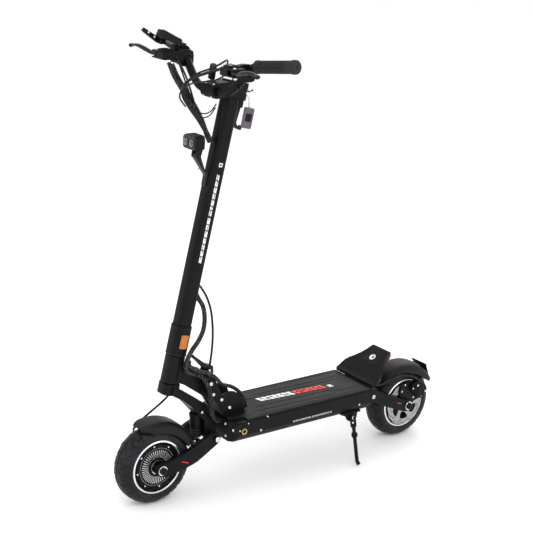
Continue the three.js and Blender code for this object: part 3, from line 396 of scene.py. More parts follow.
def turned(name, profile, centre, axis, material, body, segments=64, **looks):
    """One turned profile as a piece."""
    return piece(name, *revolve(profile, centre, axis, segments), material, body, **looks)


def merged(name, parts, material, body, **looks):
    """One piece from several lists of vertices and faces."""
    verts, faces = [], []
    for part_verts, part_faces in parts:
        offset = len(verts)
        verts += part_verts
        faces += [tuple(i + offset for i in face) for face in part_faces]
    return piece(name, verts, faces, material, body, **looks)


def smooth_line(points, spacing=3.0):
    """Points along a centripetal Catmull-Rom curve, about spacing millimetres apart."""
    p = [Vector(q) for q in points]
    p = [p[0] * 2 - p[1], *p, p[-1] * 2 - p[-2]]
    line = []
    for i in range(1, len(p) - 2):
        knots = [0.0]
        for a, b in zip(p[i - 1:i + 2], p[i:i + 3]):
            knots.append(knots[-1] + max((b - a).length, 1e-9) ** 0.5)
        t0, t1, t2, t3 = knots
        count = max(2, round((p[i + 1] - p[i]).length / (spacing * MM)))
        for k in range(count):
            t = t1 + (t2 - t1) * k / count
            a1 = p[i - 1] * ((t1 - t) / (t1 - t0)) + p[i] * ((t - t0) / (t1 - t0))
            a2 = p[i] * ((t2 - t) / (t2 - t1)) + p[i + 1] * ((t - t1) / (t2 - t1))
            a3 = p[i + 1] * ((t3 - t) / (t3 - t2)) + p[i + 2] * ((t - t2) / (t3 - t2))
            b1 = a1 * ((t2 - t) / (t2 - t0)) + a2 * ((t - t0) / (t2 - t0))
            b2 = a2 * ((t3 - t) / (t3 - t1)) + a3 * ((t - t1) / (t3 - t1))
            line.append(b1 * ((t2 - t) / (t2 - t1)) + b2 * ((t - t1) / (t2 - t1)))
    return line + [p[-2]]


def ahead_at(line, i):
    """The direction of a line of points at one of them."""
    return (line[min(i + 1, len(line) - 1)] - line[max(i - 1, 0)]).normalized()


def sweep(line, radius, sides=16, flat=1.0, up=None, braid=0.0):
    """Vertices and faces of a tube along points; radius may be a function of the share along it."""
    line = [Vector(p) for p in line]
    lengths = np.cumsum([0] + [(b - a).length for a, b in zip(line, line[1:])])
    tangents = [ahead_at(line, i) for i in range(len(line))]
    normal = (up or tangents[0].orthogonal()).copy()
    verts = []
    for i, (point, tangent) in enumerate(zip(line, tangents)):
        normal = (normal - tangent * normal.dot(tangent)).normalized()
        side = tangent.cross(normal)
        share = lengths[i] / lengths[-1]
        r = (radius(share) if callable(radius) else radius) * MM
        for k in range(sides):
            angle = 2 * math.pi * k / sides
            weave = 0.0
            if braid:
                run = lengths[i] / (braid * MM)
                weave = 0.1 * math.sin(4 * angle + run) * math.sin(4 * angle - run)
            out = normal * math.cos(angle) + side * (math.sin(angle) * flat)
            verts.append(point + out * (r * (1 + weave)))
    faces = grid_faces(len(line), sides, wrap_columns=True)
    last = (len(line) - 1) * sides
    faces += [tuple(range(sides - 1, -1, -1)), tuple(range(last, last + sides))]
    return verts, faces



def cable(name, radius, weave, node, ride, points):
    """A hose, or a braided sleeve where weave gives its pitch, on one body, or baked in place on no body where
    ride names two.
    """
    points = [p if isinstance(p, Vector) else at(*p) for p in points]
    verts, faces = sweep(smooth_line(points, 1.3 if weave else 3.0), radius, 32 if weave else 14, braid=weave)
    body = ride if isinstance(ride, str) else None
    thing = piece(name, verts, faces, BRAID if weave else HOSE_RUBBER, body, node, sharp=70)
    if body is None:
        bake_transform(thing)


# ---------------------------------------------------------------- cables held along the machine
cable("loom_right_sleeve", 6.2, 1.9, "loom_right", "steering", [
    (786, -126, 1176), (774, -118, 1146), (760, -88, 1104), (752, -50, 1064), (749, -22, 1030),
    (746, -9, 1004), (738, -8, 988)])
cable("loom_left_hose", 4, 0, "loom_left", "steering", [
    (780, 124, 1196), (762, 108, 1206), (752, 84, 1198), (760, 50, 1186), (776, 16, 1172), (789, -24, 1154),
    (794, -52, 1132), (790, -64, 1106), (778, -52, 1076), (766, -26, 1046), (758, -2, 1018), (748, 8, 1000),
    (738, 8, 990)])
cable("loom_right_twin", 5.2, 1.7, (), "steering", [
    (792, -132, 1180), (786, -116, 1148), (775, -86, 1110), (766, -54, 1074), (760, -24, 1042),
    (753, 4, 1012), (742, 6, 992)])
cable("signal_cable_a", 1.7, 0, (), "steering", [
    (770, -66, 1092), (757, -52, 1068), (744, -36, 1058), (729, -24, 1064), (717, -14, 1086)])
cable("signal_cable_b", 1.7, 0, (), "steering", [
    (776, -70, 1100), (764, -58, 1072), (748, -42, 1048), (732, -26, 1052), (719, -14, 1076)])
cable("lever_hose_left", 2.6, 0, (), "steering", [
    (786, 126, 1204), (770, 104, 1216), (756, 76, 1212), (752, 44, 1198), (758, 10, 1182), (772, -24, 1166),
    (784, -50, 1142), (783, -66, 1112), (772, -58, 1082)])
cable("switch_cable_left", 2.2, 0, (), "steering", [
    (778, 150, 1184), (772, 120, 1190), (768, 92, 1178), (772, 62, 1163), (782, 30, 1154), (796, -10, 1144),
    (804, -44, 1124), (797, -66, 1098), (781, -62, 1074)])
cable("switch_cable_right", 2.2, 0, (), "steering", [
    (776, -150, 1222), (768, -134, 1196), (764, -112, 1160), (762, -90, 1126), (762, -64, 1094)])
cable("lever_hose_right", 2.6, 0, (), "steering", [
    (790, -126, 1186), (772, -112, 1178), (762, -96, 1150), (757, -80, 1118), (756, -62, 1088)])
cable("stem_loom_sleeve", 6.2, 1.9, "stem_loom", ("steering", "neck", (754, 17, 478), (812, 35, 413)), [
    (780, 0, 588), (771, 0, 580), (761, 0, 562), (748, 3, 540), (744, 8, 505), (754, 17, 475), (776, 28, 452),
    (799, 34, 432), (812, 35, 411), (815, 35, 403)])
turned("stem_grommet", [(0.01, -3), (9.6, -3), (10, 1), (9.4, 2.6), (6.6, 3.2), (0.01, 3.2)],
       steer(-22.6, 0, 604), -STEER_AHEAD, HOSE_RUBBER, "steering", 40, sharp=45)
cable("stem_outer_cable", 3.2, 0, (), ("steering", "neck", (722, 14, 500), (722, 16, 410)), [
    (776, 4, 606), (764, 4, 602), (751, 5, 586), (738, 8, 562), (728, 12, 530), (722, 14, 490),
    (720, 15, 450), (722, 16, 410), (725, 16, 384), (727, 16, 369)])
cable("neck_loom_sleeve", 6.2, 1.9, "neck_loom", ("neck", "deck", (765, 44, 347), (742, 50, 268)), [
    (813, 35, 410), (818, 35, 390), (814, 35, 375), (800, 35, 366), (780, 37, 358), (765, 44, 347),
    (756, 49, 330), (746, 50, 302), (742, 50, 270), (738, 49, 244), (726, 43, 223), (711, 38, 210),
    (698.2, 36, 206)])
cable("hinge_loom_sleeve", 5.4, 1.8, (), ("neck", "deck", (738, 50, 352), (628, 20, 274)), [
    (806, 33, 403), (806, 35, 388), (790, 40, 374), (764, 47, 366), (738, 50, 352), (714, 44, 330),
    (697, 32, 314), (676, 23, 303), (651, 20, 292), (628, 20, 274), (610, 20, 250), (601, 20, 222)])
cable("front_brake_line", 3, 0, "front_brake_hose", (
    "steering", "front_arm", (830, -39, 275), (916, -52, 206),
), [
    (806, -34, 300), (838, -40, 268), (882, -46, 236), (908, -52, 214), (926, -53, 194)])


# ---------------------------------------------------------------- screws
def screw_parts(centre, axis, radius):
    """A button-head screw with a hexagonal recess, standing on centre."""
    height, recess = radius * 0.55, radius * 0.5
    head = revolve([
        (radius * 0.98, -0.4), (radius, height * 0.25), (radius * 0.93, height * 0.62),
        (radius * 0.72, height * 0.94), (radius * 0.56, height), (recess, height * 0.9),
    ], centre, axis, 24)
    socket = revolve([
        (recess * 1.05, height * 0.96), (recess * 0.92, height * 0.3), (0.01, height * 0.3),
    ], centre, axis, 6)
    return [head, socket]


def screws(name, places, material, body):
    """Screws in one piece, each place being a centre, an axis and a radius."""
    parts = []
    for centre, axis, radius in places:
        parts += screw_parts(centre, axis, radius)
    return merged(name, parts, material, body, sharp=50)


def both_sides(*spots):
    """The same screws on the left and on the right, from the (x, y, z, radius) of the left ones."""
    return [(at(x, side * y, z), (0, side, 0), radius) for side in (1, -1) for x, y, z, radius in spots]


# ---------------------------------------------------------------- wheels
TYRE_SECTION = [
    (0, 111), (6, 110.8), (12, 109.8), (19, 107.6), (25.5, 104), (30.5, 98.6), (33.6, 92), (34.6, 85),
    (33, 80), (30, 76.8),
]
TREAD_BLOCKS = 22


def rise(value, width=1.0):
    """Goes from 0 to 1 as value goes from 0 to width."""
    return np.clip(value / width, 0, 1)


def tyre(name, centre, body, node):
    """Tyre with a zigzag centre groove and curved slanting grooves across both shoulders."""
    section = [(-y, r) for y, r in reversed(TYRE_SECTION[1:])] + TYRE_SECTION
    line = smooth_line([Vector((y, r, 0)) * MM for y, r in section], 1.35)
    y = np.array([p.x for p in line])[None, :] / MM
    r = np.array([p.y for p in line])[None, :] / MM * (TYRE_R / TYRE_SECTION[0][1])
    around = 24 * TREAD_BLOCKS
    angle = np.arange(around)[:, None] * 2 * np.pi / around
    a, side = np.abs(y), np.sign(y)
    turn = angle * TREAD_BLOCKS / (2 * np.pi) + np.where(side > 0, 0.0, 0.5)
    curve = 0.55 * np.sin(rise(a - 6, 30) * math.pi * 0.9) + 0.25 * (a / 36)
    track = np.abs((turn + curve) % 1 - 0.5)
    groove = rise(0.1 - track, 0.03) * rise(a - 6, 2) * rise(35 - a, 4)
    short = np.abs((turn + 0.5 + curve * 0.8) % 1 - 0.5)
    sipe = rise(0.06 - short, 0.025) * rise(a - 16, 2) * rise(31 - a, 3)
    wave = 7.0 * np.abs(((angle * TREAD_BLOCKS / np.pi) % 2) - 1) - 3.5
    middle = rise(2.0 - np.abs(y - wave * 0.5), 0.8)
    bead = 0.5 * np.cos((r - 84) * 1.1) * rise(r - 79, 2) * rise(92 - r, 3)
    depth = (4.0 * np.maximum(groove, middle) + 3.0 * sipe) * rise(r - 92, 6) + 0.25 * bead
    r = r - depth * np.clip(1 - (a - 20) / 22, 0.45, 1)
    y = y - depth * 0.5 * rise(a - 20, 12) * side
    verts = np.stack([
        centre.x + r * np.cos(angle) * MM, centre.y + y * MM + 0 * angle, centre.z + r * np.sin(angle) * MM,
    ], axis=2).reshape(-1, 3)
    faces = grid_faces(around, len(line), wrap_rows=True)
    return piece(name, verts, faces, TYRE_RUBBER, body, node, sharp=60)


def paired(name, profile, centre, material, body, segments, sharp=40):
    """The same turned profile on both sides of the wheel, in one piece."""
    parts = [revolve(profile, centre, side, segments) for side in (LEFT, RIGHT)]
    return merged(name, parts, material, body, sharp=sharp)


def spoke(k, count, radius, shift=0.0):
    """The offset of one of count places on a circle round the axle."""
    return Matrix.Rotation(2 * math.pi * (k + shift) / count, 3, "Y") @ Vector((radius * MM, 0, 0))


def motor_cover(name, centre, out, body, node):
    """Outer motor cover: flange with screws, a ring of studs and radial cooling fins round a cap."""
    turned(name, [
        (17, 22.3), (65, 22.3), (65, 25.2), (63.6, 26.4), (58.6, 26.6), (57.4, 27.6), (50.5, 27.9),
        (49.5, 26.4), (26.5, 27.2), (25.3, 30.2), (22.5, 31), (17, 31), (17, 22.3),
    ], centre, out, BLACK_COAT, body, 96, replaces=node, sharp=28)
    fins = []
    for k in range(44):
        turn = Matrix.Rotation(2 * math.pi * k / 44, 3, "Y")

        def on_fin(along, wide, height):
            return centre + turn @ (Vector((along, 0, wide)) * MM) + out * (height * MM)

        fins.append(extruded([(27.5, -0.5), (48.6, -1.0), (48.6, 1.0), (27.5, 0.5)], 26.0, 28.9, on_fin))
    merged(name + "_fins", fins, FIN_ALLOY, body, bevel=0.25)
    stud = [(0.9, 27.4), (0.85, 28.2), (0.5, 28.5), (0.01, 28.55)]
    studs = [revolve(stud, centre + spoke(k, 72, 54, 0.5), out, 8) for k in range(72)]
    merged(name + "_studs", studs, FIN_ALLOY, body, sharp=50)
    screws(name + "_screws", [
        (centre + spoke(k, 8, 61.2, 0.2) + out * (26.4 * MM), out, 2.9) for k in range(8)
    ], SCREW_STEEL, body)
    turned(name + "_ring", [(17.6, 31.0), (17.8, 31.8), (20.0, 31.9), (20.4, 31.0)], centre, out, SILVER,
           body, sharp=40)


def flat_shape(name, loops, thickness, place, material, body, **looks):
    """A flat plate from an outer loop and any hole loops, filled by Blender's curve fill."""
    data = bpy.data.curves.new(name + "_outline", "CURVE")
    data.dimensions = "2D"
    data.fill_mode = "BOTH"
    data.extrude = thickness * MM / 2
    for loop in loops:
        spline = data.splines.new("POLY")
        spline.points.add(len(loop) - 1)
        for point, (a, b) in zip(spline.points, loop):
            point.co = (a * MM, b * MM, 0, 1)
        spline.use_cyclic_u = True
    curve = bpy.data.objects.new(name + "_outline", data)
    bpy.context.scene.collection.objects.link(curve)
    bpy.context.view_layer.update()
    mesh = bpy.data.meshes.new_from_object(curve.evaluated_get(bpy.context.evaluated_depsgraph_get()))
    mesh.transform(place)
    bpy.data.objects.remove(curve)
    return dress(name, mesh, material, body, sharp=30, **looks)


def polar(radius, angle, centre=(0, 0)):
    return centre[0] + radius * math.cos(angle), centre[1] + radius * math.sin(angle)


def circle(radius, count, centre=(0, 0)):
    return [polar(radius, 2 * math.pi * k / count, centre) for k in range(count)]


def brake_disc(name, centre, out, body, node):
    """Petal-edged ventilated disc with drilled ring, curved spokes and six mounting screws."""
    window = [
        (50.5, 0.17), (50.5, 0.45), (50.5, 0.73), (46, 0.86), (34, 0.98), (27.5, 0.9), (26, 0.6),
        (29, 0.4), (40, 0.2),
    ]
    holes = (0.1, 63.4), (0.36, 59), (0.62, 63.4), (0.88, 59), (0.23, 55), (0.75, 55), (0.5, 63.6)
    outer = [polar(68.3 + 1.1 * math.cos(12 * t), t) for t in (2 * math.pi * k / 192 for k in range(192))]
    loops = [outer, circle(9, 32)]
    for k in range(6):
        start = k * math.pi / 3
        loops.append([tuple(p) for p in rounded([polar(r, start + t) for r, t in window], 5, 3)])
        loops += [circle(2.0, 12, polar(radius, start + turn)) for turn, radius in holes]
    place = Matrix.Translation(centre + out * (36.9 * MM)) @ Matrix.Rotation(math.pi / 2, 4, "X")
    flat_shape(name, loops, 2.0, place, DISC_STEEL, body, replaces=node)
    screws(name + "_screws", [(centre + spoke(k, 6, 17) + out * (37.9 * MM), out, 3) for k in range(6)],
           SCREW_STEEL, body)


for wheel, centre, disc_side, cover in (
    ("front", FRONT_AXLE, RIGHT, "front_motor_cover"), ("rear", REAR_AXLE, LEFT, ()),
):
    body, arm = wheel + "_wheel", wheel + "_arm"
    tyre(wheel + "_tyre_rubber", centre, body, wheel + "_tyre")
    turned(wheel + "_rim_body", [
        (7, -22), (60, -22), (64, -23), (69.5, -28), (71.7, -31), (71.8, -26), (76.4, -20), (76.4, 20),
        (71.8, 26), (71.7, 31), (69.5, 28), (64, 23), (60, 22), (24, 22), (22, 24), (22, 35), (7, 35),
        (7, -22),
    ], centre, disc_side, FRAME_COAT, body, 96, replaces=wheel + "_rim", sharp=30)
    paired(wheel + "_rim_lips", [
        (71.6, 28.6), (71.6, 31.2), (72.4, 32.1), (75.6, 32.3), (76.9, 31.4), (77.0, 28.6), (71.6, 28.6),
    ], centre, SILVER, body, 96)
    motor_cover(wheel + "_motor", centre, -disc_side, body, cover)
    brake_disc(wheel + "_disc", centre, disc_side, body, wheel + "_brake_disc")
    refined(wheel + "_axle", SCREW_STEEL, 0.5)
    paired(wheel + "_axle_caps", [(10.4, 58.6), (10.6, 62), (9.9, 66), (7.6, 68), (3.6, 68.8), (0.01, 69)],
           centre, MOULDED, arm, 32, 50)
    paired(wheel + "_axle_washers", [(10, 58.2), (13.6, 58.2), (13.8, 59.2), (13.2, 59.9), (10, 59.9)],
           centre, SILVER, arm, 40)


# ---------------------------------------------------------------- suspension
for node, material, bevel in (
    ("front_arm", FRAME_COAT, 1.4), ("rear_arm", FRAME_COAT, 1.4), ("fork", FRAME_COAT, 1.4),
    ("front_shock_body", MOULDED, 0.6), ("rear_shock_body", MOULDED, 0.6),
    ("front_shock_rod", SCREW_STEEL, 0.4), ("rear_shock_rod", SCREW_STEEL, 0.4),
):
    refined(node, material, bevel)


def ribbed_sleeve():
    """Ribbed rubber sleeve over the front shock's coil."""
    low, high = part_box("front_shock_sleeve")
    axis = Vector(JOINTS["front_shock_stroke"]["axis"]).normalized()
    middle = (low + high) / 2
    half = (high.z - low.z) / 2 / MM - 0.6
    ribs = [(13.6 + 2.0 * math.cos(k / 32 * 8 * math.pi), -half + 2 * half * k / 32) for k in range(33)]
    sleeve = turned("front_shock_gaiter", [(7, -half), *ribs, (7, half), (7, -half)], middle, axis,
                    GRIP_RUBBER, "front_shock", 48, replaces="front_shock_sleeve", sharp=60)
    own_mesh(sleeve)


ribbed_sleeve()
screws("pivot_bolts_front", both_sides((724.7, 66.2, 167.1, 8.6)), SILVER, "steering")
screws("pivot_bolts_rear", both_sides((158, 66.2, 176, 6.8)), SCREW_STEEL, "deck")
screws("shock_bolts", both_sides((758, 33.1, 243, 4.2)), SCREW_STEEL, "steering")
for name, corners, body in (
    ("front_arm_mark", [(814, 113.4), (836, 121.9), (836, 124.3), (814, 115.8)], "front_arm"),
    ("rear_arm_mark", [(32, 122.3), (50, 129.7), (50, 132), (32, 124.6)], "rear_arm"),
):
    prism(name, rounded(corners, 0.8, 2), 58.02, 58.32, side_view, RED_PAINT, body)


# ---------------------------------------------------------------- guards over the wheels
GUARD_TOP, GUARD_WALL, GUARD_HALF = 129.6, 2.6, 50
BEAK_START, BEAK_TAPER = 9, 0.767


def guard(name, centre, edge, body, node, shoulder, beak=False):
    """Sculpted guard with a crowned top; edge is its skirts' lower line, as degrees and radius."""
    rows, verts = 72, []
    degrees_at, skirt_at = zip(*edge)
    for i in range(rows):
        degrees = edge[0][0] + (edge[-1][0] - edge[0][0]) * i / (rows - 1)
        angle = math.radians(degrees)
        skirt = float(np.interp(degrees, degrees_at, skirt_at))
        fall = max(GUARD_TOP - 20, skirt)
        half = [
            (0, GUARD_TOP + 0.2), (13, GUARD_TOP), (shoulder, GUARD_TOP - 0.4), (34, GUARD_TOP - 4.2),
            (41.5, max(GUARD_TOP - 12, skirt + 1)), (43.5, max(GUARD_TOP - 20, skirt + 0.5)),
            (43.6, (fall + skirt) * 0.5), (43.4, skirt),
        ]
        for y, r in [(-y, r) for y, r in reversed(half[1:])] + half:
            ahead = r * math.cos(angle)
            limit = GUARD_HALF - BEAK_TAPER * max(0.0, ahead - BEAK_START) if beak else GUARD_HALF
            y = math.copysign(min(abs(y), limit), y)
            verts.append(centre + Vector((ahead, y, r * math.sin(angle))) * MM)
    faces = grid_faces(rows, len(verts) // rows)
    thing = piece(name, verts, faces, GUARD_PLASTIC, body, node, sharp=50, subdivide=1)
    shell = thing.modifiers.new("thickness", "SOLIDIFY")
    shell.thickness = GUARD_WALL * MM
    shell.offset = -1
    thing.modifiers.move(1, 0)
    soften(thing, 0.7, 50)
    thing.modifiers.move(2, 1)


guard("front_guard", FRONT_AXLE, [(66, 119), (82, 106), (99, 100.5), (120, 99), (144, 99), (162, 108)],
      "front_arm", "front_fender", 25, beak=True)
guard("rear_guard", REAR_AXLE, [(34, 119), (57, 119), (76, 111), (100, 99), (135, 99), (148, 109)],
      "rear_arm", "rear_fender", 22)
for name, corners, radius, steps, half, bevel in (
    ("plate_holder", [(-85, 224), (-82.6, 225.2), (-104.6, 173), (-107, 172)], 0.8, 2, 31, 0.6),
    ("plate_holder_frame_top", [(-86.2, 222.6), (-82, 226), (-84.6, 217), (-88.6, 216.8)], 0.8, 2, 32, 0.5),
    ("plate_holder_arm", [(-86, 190), (-96, 196), (-104, 180), (-94, 158), (-86, 162)], 3, 3, 14, 1),
):
    prism(name, rounded(corners, radius, steps), -half, half, side_view, GUARD_PLASTIC, "rear_arm",
          bevel=bevel)
screws("plate_holder_bolts", [
    (at(-100, 9, 166), (-0.9, 0, -0.3), 4.2), (at(-100, -9, 166), (-0.9, 0, -0.3), 4.2),
    *both_sides((-92, 14.2, 172, 3.6)),
], SCREW_STEEL, "rear_arm")
screws("front_guard_bolts", both_sides((802, 44.6, 158, 2.9), (787, 44.6, 168, 2.9)), SCREW_STEEL,
       "front_arm")


# ---------------------------------------------------------------- calipers
def on_caliper(centre, out, degrees, a, b, h):
    """A point a along the disc's edge, b out from the axle and h outward, in a caliper's own turned frame."""
    turn = math.radians(degrees)
    tangent = Vector((math.sin(turn), 0, -math.cos(turn)))
    radial = Vector((math.cos(turn), 0, math.sin(turn)))
    return centre + (tangent * a + radial * b + out * h) * MM


def caliper(name, centre, out, degrees, body, node):
    """Two-piston caliper standing on its bracket, with bolts, a pad pin and an adjuster knob."""
    def spot(a, b, h):
        return on_caliper(centre, out, degrees, a, b, h)

    tangent, radial = spot(1, 0, 0) - spot(0, 0, 0), spot(0, 1, 0) - spot(0, 0, 0)
    for part, corners, corner, low, high, looks in (
        ("_block", [(-30, 42), (30, 42), (34, 60), (24, 80), (-22, 82), (-34, 62)], 8, 39.2, 55.5,
         {"replaces": node, "bevel": 1.8, "segments": 3}),
        ("_half", [(-24, 50), (20, 47), (27, 60), (18, 74), (-17, 76), (-27, 62)], 7, 55.0, 60.2,
         {"bevel": 1.8, "segments": 3}),
        ("_bracket", [(-14, 8), (14, 8), (22, 46), (-22, 46)], 6, 38.9, 43.4, {"bevel": 0.8}),
    ):
        prism(name + part, rounded(corners, corner), low, high, spot, BLACK_COAT, body, **looks)
    boss = revolve([
        (13, 59.5), (13, 61.6), (11.8, 62.6), (8.5, 62.8), (8, 61.8), (0.01, 61.8),
    ], spot(-2, 61, 0), out, 40)
    knob = revolve([(4.6, -6), (5.2, -5.2), (5.2, 5.2), (4.6, 6), (0.01, 6)], spot(28, 58, 52), tangent, 12)
    banjo = revolve([(4.8, -4), (5.2, -3.4), (5.2, 3.4), (4.8, 4), (0.01, 4)], spot(-26, 76, 52), radial, 6)
    merged(name + "_fittings", [boss, knob, banjo], MOULDED, body, sharp=35, bevel=0.3)
    screws(name + "_bolts", [
        (spot(-22, 70, 60.2), out, 3.4), (spot(19, 66, 60.2), out, 3.4), (spot(-23, 52, 55.5), out, 3),
        (spot(24, 50, 55.5), out, 3),
    ], SILVER, body)


REAR_CALIPER = REAR_AXLE, LEFT, 132
caliper("front_brake", FRONT_AXLE, RIGHT, 52, "front_arm", "front_caliper")
caliper("rear_brake", *REAR_CALIPER, "rear_arm", "rear_caliper")
prism("rear_brake_shield", rounded([
    (-70, 132), (-62, 168), (-34, 184), (2, 186), (26, 172), (30, 150), (20, 134), (34, 118), (18, 97),
    (-16, 96), (-34, 116), (-52, 118),
], 8, 4), 39.4, 43.2, side_view, BLACK_COAT, "rear_arm", bevel=0.9)
screws("rear_shield_bolts", [
    (at(x, 43.2, z), LEFT, 3.2) for x, z in ((-60, 140), (-24, 176), (8, 176), (20, 156), (-30, 128))
], SILVER, "rear_arm")
cable("rear_brake_line", 2.5, 0, (), ("rear_arm", "deck", (92, 46.5, 202), (150, 37, 201)), [
    on_caliper(*REAR_CALIPER, -26, 80, 52), on_caliper(*REAR_CALIPER, -20, 84, 51),
    (-2, 47.5, 206), (40, 47.2, 214), (84, 46.8, 204), (118, 44, 197), (146, 39, 200), (170, 30, 205)])


# ---------------------------------------------------------------- neck, latch and hinge
refined("neck", FRAME_COAT, 1.6)
refined("hinge_bracket", BLACK_COAT, 1.2)
refined("latch_lever", ANODISED, 0.8)
screws("hinge_bolts", both_sides(
    (728, 41.2, 292, 5.2), (700, 41.2, 271, 5.2), (672, 41.2, 242, 5.2), (740.5, 45.1, 327.3, 6.4),
), SILVER, "deck")
screws("latch_pin_heads", [(steer(-112, side * 17.1, 385), (0, side, 0), 4.4) for side in (1, -1)],
       SCREW_STEEL, "neck")
turned("safety_button_cap", [(4.9, 8), (4.9, -1.2), (4.4, -2.2), (3.2, -2.6), (0.01, -2.4)],
       steer(-134, 0, 379), STEER_AHEAD, RED_PAINT, "safety_button", 40, replaces="safety_button", sharp=50)
for node in ("head_bearing_lower", "head_bearing_upper"):
    refined(node, SCREW_STEEL, 0.4)
prism("latch_hook", rounded([(-60, 416), (-52, 417), (-50, 424), (-60, 424)], 1.5, 3), -4, 4, steer_side,
      ANODISED, "latch", bevel=0.6)


# ---------------------------------------------------------------- stem
for name, half_u, half_y, corner, low, high, material, node, bevel in (
    ("stem_base_block", 25, 23.5, 17, 425, 508, FRAME_COAT, "stem_base", 1.4),
    ("stem_column", 22.5, 21, 15, 508.4, 1126, FRAME_COAT, "stem_tube", 0.8),
    ("stem_base_collar", 25.4, 23.9, 17, 425.5, 429, ANODISED, (), 0.6),
):
    prism(name, rectangle(half_u, half_y, corner, 14), low, high, steer, material, "steering", replaces=node,
          bevel=bevel, sharp=45)
screws("stem_base_bolts", [(steer(-25.2, y, s), -STEER_AHEAD, 3.6) for y in (8, -8) for s in (440, 492)],
       SCREW_STEEL, "steering")

for side, half in SIDES:
    node = "reflector_" + half
    prism(node + "_frame", between(-11, 447, 11, 485, 3), side * 23.8, side * 27.8, steer_side, ORANGE_LENS,
          "steering", replaces=node, bevel=0.7)
    rows = []
    for k in range(9):
        s = 450 + k * 4
        ridge = [
            steer(u, side * y, s + lift)
            for y, lift in ((27.7, 0), (27.7, 3.4), (28.4, 1.7)) for u in (-9.3, 9.3)
        ]
        rows.append((ridge, [(0, 1, 3, 2), (0, 4, 5, 1), (2, 3, 5, 4), (0, 2, 4), (1, 5, 3)]))
    merged(node + "_prisms", rows, ORANGE_LENS, "steering", sharp=20)


def glyphs(name, place, widths, height, gap, slant, material, body, thick):
    """A row of plain slanted blocks with small notches, in the place of lettering."""
    parts, x = [], 0.0
    for k, width in enumerate(widths):
        end = x + width
        middle = height * (0.36 if k % 2 else 0.58)
        low, high = middle - height * 0.13, middle + height * 0.13
        if k % 3 == 2:
            blocks = [(x, 0, end, low), (x, high, end, height)]
        else:
            side = x + width * (0.45 if k % 2 else 0.55)
            blocks = [(x, 0, side, height), (side, high, end, height), (side, 0, end, low)]
        for a0, b0, a1, b1 in blocks:
            corners = [(a + slant * b, b) for a, b in ((a0, b0), (a1, b0), (a1, b1), (a0, b1))]
            parts.append(extruded(corners, -0.2, thick, place))
        x = end + gap
    return merged(name, parts, material, body)


def stem_mark(a, b, h):
    return steer(-4.5 + b, 21.0 + h, 684 + a)


glyphs("stem_mark_blocks", stem_mark, [16, 14, 14, 15, 16, 14, 16, 0.1, 14, 8, 15, 14, 14, 14, 14],
       8.6, 2.9, 0.25, WHITE_PAINT, "steering", 0.25)
outer = rounded([(-7, 956), (-7, 946), (4, 944), (5, 956)], 2.5)
count = len(outer)
middle = sum(outer, Vector((0, 0))) / count
inner = [middle + (p - middle) * 0.52 for p in outer]
verts = [steer(p[0], h, p[1]) for h in (20.8, 21.25) for p in (*outer, *inner)]
faces = []
for i in range(count):
    j = (i + 1) % count
    faces += [
        (2 * count + i, 2 * count + j, 3 * count + j, 3 * count + i), (i, j, 2 * count + j, 2 * count + i),
        (count + i, 3 * count + i, 3 * count + j, count + j), (i, count + i, count + j, j),
    ]
piece("stem_mark_ring", verts, faces, WHITE_PAINT, "steering")


# ---------------------------------------------------------------- lamp
LAMP = at(793, 0, 994)
EAR_FOOT = steer_point(784, 958)


def on_lamp(a, b, h):
    return LAMP + Vector((h, b, a)) * MM


refined("headlight_bracket", ANODISED, 0.8)
prism("lamp_body", rectangle(19, 29, 12, 10), -16, 14.5, on_lamp, MOULDED, "headlight", replaces="headlight",
      bevel=3, segments=4, sharp=45)
prism("lamp_bezel", rectangle(17.6, 27.6, 11, 10), 13, 16, on_lamp, GLOSS_BLACK, "headlight",
      bevel=1, segments=3, sharp=45)
fin = rectangle(19.6, 29.6, 12.4, 8)
merged("lamp_fins", [extruded(fin, low, low + 2, on_lamp) for low in range(-15, 10, 5)], MOULDED, "headlight",
       sharp=45)
for k, y in enumerate((-13.6, 13.6)):
    turned(f"lamp_reflector_{k + 1}", [
        (12.4, 0.2), (12.4, 1.2), (11.4, 1.6), (10.8, 0.9), (7.8, -2.2), (3.5, -3.7), (0.01, -3.9),
    ], on_lamp(0, y, 16), (1, 0, 0), ANODISED, "headlight", 48, sharp=50)
    turned(f"lamp_lens_{k + 1}", [(10.7, 0.7), (9.4, 1.9), (6.8, 3.0), (3.4, 3.7), (0.01, 3.9)],
           on_lamp(0, y, 16), (1, 0, 0), LAMP_LENS, "headlight", 48, sharp=60)
for side, half in SIDES:
    u, s = EAR_FOOT
    ear = rounded([(u - 7, s - 7), (u + 7, s - 7), (u + 9, s + 20), (u - 9, s + 20)], 3)
    prism("lamp_ear_" + half, ear, side * 8.4, side * 12.6, steer_side, MOULDED, "headlight", bevel=0.6)
screws("lamp_bolts", [(at(775.8, 0, 919), STEER_AHEAD, 3.8)], SCREW_STEEL, "steering")


